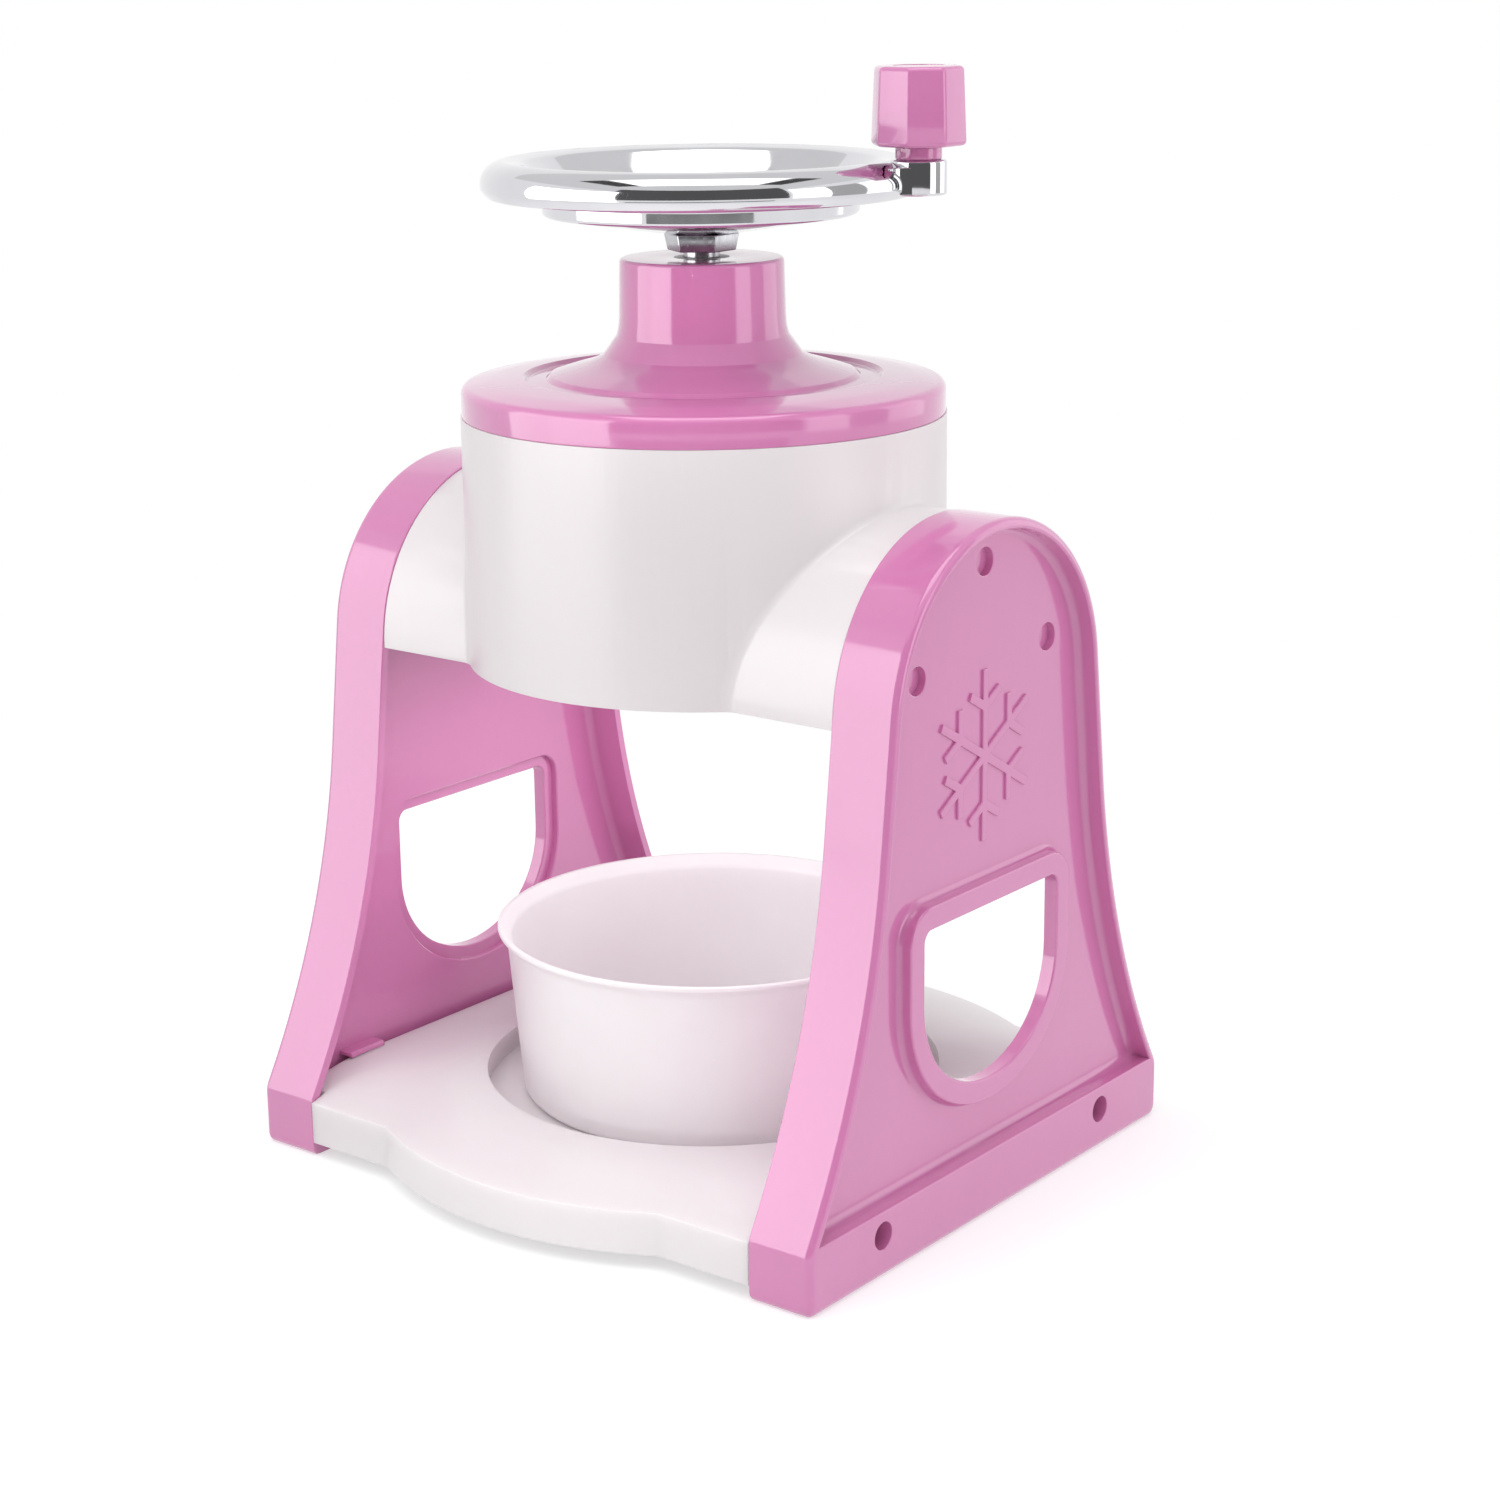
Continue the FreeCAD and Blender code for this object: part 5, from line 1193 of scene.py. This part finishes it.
class BuildPress(PieceOperator, bpy.types.Operator):
    """Build the spiked plate that holds the ice down"""
    bl_idname = "ice_shaver.press"
    bl_label = "Pressing plate"

    def build(self, settings):
        sizes = settings.sizes
        softness, base_radius, tip_radius = 0.5, 1.8, 0.3
        inner_circle, outer_circle = 22, 42
        plate = frame_copy("press_disc", "press_plate")
        soften(plate, softness * MM)
        fit(plate, "plate_plastic", "press", "press_plate")
        low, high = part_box("press_spikes")
        spikes = grow("ice_spikes", spike_tree(), points_mesh("ice_spikes"), "stainless_steel",
                      inner_circle=inner_circle * MM, outer_circle=outer_circle * MM,
                      inner_count=sizes.inner_spikes, outer_count=sizes.outer_spikes,
                      base_radius=base_radius * MM, tip_radius=tip_radius * MM,
                      length=high.z - low.z)
        spikes.data.transform(Matrix.Translation((0, 0, low.z)))
        fit(spikes, "stainless_steel", "press", "press_spikes")


class BuildShaving(PieceOperator, bpy.types.Operator):
    """Build the shaving plate and its blade"""
    bl_idname = "ice_shaver.shaving"
    bl_label = "Shaving plate and blade"

    def build(self, settings):
        softness = 0.3
        plate = frame_copy("floor_plate", "shaving_plate")
        soften(plate, softness * MM)
        fit(plate, "plate_plastic", "frame", "shaving_plate")
        dress("shaving_blade", "stainless_steel")


class BuildScrews(PieceOperator, bpy.types.Operator):
    """Build every set of screws"""
    bl_idname = "ice_shaver.screws"
    bl_label = "Screws"

    def build(self, settings):
        panel_shank, plate_shank = 12.0, 5.3
        lug_circle, lug_angles = 52, (90, 210, 330)
        for side, word in SIDES:
            facing = Matrix.Rotation(side * math.pi / 2, 3, "Y").to_euler()
            for kind, places in (("upper", UPPER_SCREWS), ("base", BASE_SCREWS)):
                node = f"{word}_{kind}_screws"
                outer = TOP_OF[node].x if side > 0 else FOOT_OF[node].x
                seat = outer - side * SCREW_HEAD_HEIGHT
                screws(f"{word}_{kind}_screw_set", "frame", node,
                       [(seat, y, z) for y, z in places], facing, panel_shank)
        seat = FOOT_OF["shaving_plate_screws"].z + SCREW_HEAD_HEIGHT
        lugs = [(lug_circle * math.cos(a), lug_circle * math.sin(a), seat)
                for a in map(math.radians, lug_angles)]
        screws("plate_screw_set", "frame", "shaving_plate_screws", lugs,
               Matrix.Rotation(math.pi, 3, "X").to_euler(), plate_shank)
        dress("blade_screws", "screw_steel")


# ---------------------------------------------------------------------------
# Stage. Lengths are in metres here.
# ---------------------------------------------------------------------------

# Upright cards that only show in reflections: name, degrees to the right of the camera, half
# of their spread in degrees, distance, height of the top, strength.
CARDS = (
    ("dark_card", 0, 46, 1.6, 1.5, 0.11),
    ("low_dark_card", 0, 38, 0.6, 0.09, 0.25),
    ("left_card", -57, 15, 0.75, 0.6, 3.4),
    ("far_left_card", -85, 13, 0.75, 0.6, 3.0),
    ("right_card", 59, 11, 1.3, 0.9, 2.1),
    ("right_gap_card", 82, 12, 1.3, 0.9, 0.5),
    ("far_right_card", 109, 15, 1.3, 0.9, 1.6),
)
CARD_FOOT = -0.02

# Level cards overhead: name, how far to the right, height, width and depth, strength.
CEILING_CARDS = (
    ("grey_ceiling", 0, 1.52, (3.4, 3.4), 0.8),
    ("top_card", 0, 1.3, (0.9, 0.7), 2.6),
    ("left_flag", -0.6, 1.3, (0.24, 0.7), 0.08),
    ("right_flag", 0.6, 1.3, (0.24, 0.7), 0.08),
)
CEILING_FORWARD = 0.15

# Lamps: name, kind, degrees to the right of the camera, height, distance, size, watts, height
# of what they look at. The size is width and depth, or the beam's spread in degrees.
LAMPS = (
    ("left_fill", "AREA", -58, 0.92, 0.92, (0.9, 0.8), 2.9, 0.14),
    ("front_fill", "AREA", 4, 0.30, 1.15, (0.7, 0.4), 1.0, 0.14),
    ("right_back", "AREA", 82, 0.20, 1.15, (0.8, 0.4), 2.6, 0.14),
    ("top_box", "AREA", -10, 1.25, 0.35, (0.9, 0.9), 4.8, 0.14),
    ("neck_spot", "SPOT", -14, 0.30, 0.9, 6, 12, 0.235),
    ("bowl_spot", "SPOT", -20, 0.10, 1.0, 10, 6, 0.045),
    ("shade_fill", "AREA", 0, 0.129, 0.0, (0.09, 0.09), 0.066, 0.0),
)
SPOT_SOFTNESS = 0.03

FLOOR_RADIUS = 2.0
FLOOR_SIDES = 96
FLOOR_GREY = (0.62, 0.62, 0.62, 1)
FLOOR_GLOW = (0.2, 0.5)
FLOOR_FADE = (0.18, 0.55)
WHITE = (1, 1, 1, 1)
SENSOR_WIDTH = 36
NEAREST = 0.01


def shown_rays(nodes):
    """1 for a ray that the eye, a metal or a glass sends out, and 0 for one that only lights."""
    path = nodes.node("ShaderNodeLightPath")
    total = path.outputs["Is Camera Ray"]
    for name in ("Is Glossy Ray", "Is Transmission Ray"):
        total = nodes.maths("MAXIMUM", total, path.outputs[name])
    return total


def bare_material(name):
    """A material with no nodes in it, and the means to add some."""
    material = bpy.data.materials.new(name)
    material.use_nodes = True
    material.node_tree.nodes.clear()
    return material, Nodes(material.node_tree)


def floor_finish():
    """Pale floor that keeps the shadow near the object and turns plain white further off."""
    material, nodes = bare_material("floor")
    shown = shown_rays(nodes)
    matt = nodes.node("ShaderNodeBsdfDiffuse", Color=FLOOR_GREY)
    glow = nodes.node("ShaderNodeMapRange", Value=shown, To_Min=FLOOR_GLOW[0],
                      To_Max=FLOOR_GLOW[1])
    lift = nodes.node("ShaderNodeEmission", Strength=glow.outputs["Result"])
    near = nodes.row("ShaderNodeAddShader", matt.outputs[0], lift.outputs[0])
    place = nodes.node("ShaderNodeTexCoord").outputs["Object"]
    length = nodes.node("ShaderNodeVectorMath", {"operation": "LENGTH"}, Vector=place)
    fade = nodes.node("ShaderNodeMapRange", {"interpolation_type": "SMOOTHSTEP"},
                      Value=length.outputs["Value"], From_Min=FLOOR_FADE[0],
                      From_Max=FLOOR_FADE[1])
    share = nodes.maths("MULTIPLY", fade.outputs["Result"], shown)
    white = nodes.node("ShaderNodeEmission")
    mix = nodes.row("ShaderNodeMixShader", share, near.outputs[0], white.outputs[0])
    nodes.node("ShaderNodeOutputMaterial", Surface=mix.outputs[0])
    return material


def glowing_finish(name, strength):
    """White light and nothing else."""
    material, nodes = bare_material(name)
    glow = nodes.node("ShaderNodeEmission", Strength=strength)
    nodes.node("ShaderNodeOutputMaterial", Surface=glow.outputs[0])
    return material


def only_reflected(card, strength):
    """Makes a card glow, and hides it from all but reflections."""
    card.data.materials.append(glowing_finish(card.name, strength))
    for kind in ("camera", "diffuse", "transmission", "volume_scatter", "shadow"):
        setattr(card, f"visible_{kind}", False)


def reflection_card(name, turn, half_span, reach, top, strength):
    """A curved upright card. Turn is in degrees to the right of the front."""
    steps = 24
    shape = bmesh.new()
    rows = []
    for height in (CARD_FOOT, top):
        angles = [math.radians(turn - half_span + 2 * half_span * step / steps)
                  for step in range(steps + 1)]
        rows.append([shape.verts.new((reach * math.sin(a), -reach * math.cos(a), height))
                     for a in angles])
    for here in range(steps):
        shape.faces.new((rows[0][here], rows[0][here + 1], rows[1][here + 1], rows[1][here]))
    only_reflected(show(name, plain_mesh(name, shape)), strength)


def ceiling_card(name, turn, aside, height, size, strength):
    """A level card, squared up to the camera and moved to its right."""
    shape = bmesh.new()
    facing = Matrix.Rotation(math.radians(turn), 3, "Z")
    place = Matrix.LocRotScale(facing @ Vector((aside, -CEILING_FORWARD, height)),
                               facing.to_quaternion(), Vector((*size, 1)))
    bmesh.ops.create_grid(shape, x_segments=1, y_segments=1, size=0.5, matrix=place)
    only_reflected(show(name, plain_mesh(name, shape)), strength)


def set_lamp(name, kind, turn, height, distance, size, power, aim):
    """A lamp that lights but doesn't show. Turn is in degrees to the right of the front."""
    light = bpy.data.lights.new(name, kind)
    light.energy = power
    if kind == "AREA":
        light.shape = "RECTANGLE"
        light.size, light.size_y = size
    else:
        light.spot_size = math.radians(size)
        light.spot_blend = 1.0
        light.shadow_soft_size = SPOT_SOFTNESS
    lamp = bpy.data.objects.new(name, light)
    angle = math.radians(turn)
    lamp.location = (distance * math.sin(angle), -distance * math.cos(angle), height)
    gaze = Vector((0, 0, aim)) - lamp.location
    lamp.rotation_euler = gaze.to_track_quat("-Z", "Y").to_euler()
    lamp.visible_camera = False
    lamp.visible_glossy = False
    bpy.context.scene.collection.objects.link(lamp)


class BuildStage(PieceOperator, bpy.types.Operator):
    """Set out the floor, the lamps and the camera"""
    bl_idname = "ice_shaver.stage"
    bl_label = "Stage"

    def build(self, settings):
        studio = settings.studio
        turn = math.degrees(studio.camera_turn)
        self.floor()
        self.cards(turn, studio.card_light)
        self.lamps(turn, studio.lamp_light)
        self.world(studio)
        self.camera(studio)
        bpy.context.scene.view_settings.view_transform = "Standard"

    def floor(self):
        shape = bmesh.new()
        bmesh.ops.create_circle(shape, cap_ends=True, radius=FLOOR_RADIUS, segments=FLOOR_SIDES)
        floor = show("floor", plain_mesh("floor", shape))
        floor.data.materials.append(floor_finish())

    def cards(self, turn, light):
        """What the gloss reflects: a dark room behind the camera, and bright soft boxes."""
        for name, aside, half_span, reach, top, strength in CARDS:
            reflection_card(name, turn + aside, half_span, reach, top, strength * light)
        for name, aside, height, size, strength in CEILING_CARDS:
            ceiling_card(name, turn, aside, height, size, strength * light)

    def lamps(self, turn, light):
        for name, kind, aside, height, distance, size, power, aim in LAMPS:
            set_lamp(name, kind, turn + aside, height, distance, size, power * light, aim)

    def world(self, studio):
        """White to the eye and in reflections, and less bright where it only lights."""
        world = bpy.data.worlds.new("room")
        bpy.context.scene.world = world
        world.use_nodes = True
        nodes = Nodes(world.node_tree)
        background = world.node_tree.nodes["Background"]
        background.inputs["Color"].default_value = WHITE
        level = nodes.node("ShaderNodeMapRange", Value=shown_rays(nodes),
                           To_Min=studio.room_light, To_Max=1.0)
        nodes.put(background.inputs["Strength"], level.outputs["Result"])

    def camera(self, studio):
        turn, tilt = studio.camera_turn, studio.camera_tilt
        back = Vector((math.sin(turn) * math.cos(tilt), -math.cos(turn) * math.cos(tilt),
                       math.sin(tilt)))
        right = Vector((math.cos(turn), math.sin(turn), 0))
        up = back.cross(right)
        axes = Matrix((right, up, back)).transposed()
        lens = bpy.data.cameras.new("camera")
        lens.lens = studio.lens
        lens.sensor_width = SENSOR_WIDTH
        lens.clip_start = NEAREST
        camera = bpy.data.objects.new("camera", lens)
        lean = Matrix.Rotation(-studio.camera_roll, 3, "Z")
        camera.matrix_world = Matrix.Translation(studio.camera_place) @ (axes @ lean).to_4x4()
        bpy.context.scene.collection.objects.link(camera)
        bpy.context.scene.camera = camera


# ---------------------------------------------------------------------------
# Sidebar and start
# ---------------------------------------------------------------------------

STEPS = (BuildFinishes, BuildPanels, BuildTray, BuildHopper, BuildLid, BuildBowl, BuildWheel,
         BuildKnob, BuildSpindle, BuildPress, BuildShaving, BuildScrews, BuildStage)


class ShaverPanel(bpy.types.Panel):
    """Lists the steps and settings of the ice shaver"""
    bl_idname = "VIEW3D_PT_ice_shaver"
    bl_label = "Ice Shaver"
    bl_space_type = "VIEW_3D"
    bl_region_type = "UI"
    bl_category = "Ice Shaver"

    def draw(self, context):
        layout = self.layout
        for step in STEPS:
            layout.operator(step.bl_idname)
        settings = context.scene.ice_shaver
        for group in (settings.colours, settings.sizes, settings.studio):
            box = layout.box()
            for name in group.__annotations__:
                box.prop(group, name)


CLASSES = (ShaverColours, ShaverSizes, ShaverStudio, ShaverSettings, *STEPS, ShaverPanel)


def register():
    for kind in CLASSES:
        bpy.utils.register_class(kind)
    bpy.types.Scene.ice_shaver = PointerProperty(type=ShaverSettings)


def unregister():
    del bpy.types.Scene.ice_shaver
    for kind in reversed(CLASSES):
        bpy.utils.unregister_class(kind)


def main():
    register()
    for step in STEPS:
        group, name = step.bl_idname.split(".")
        getattr(getattr(bpy.ops, group), name)()


if __name__ == "__main__":
    main()
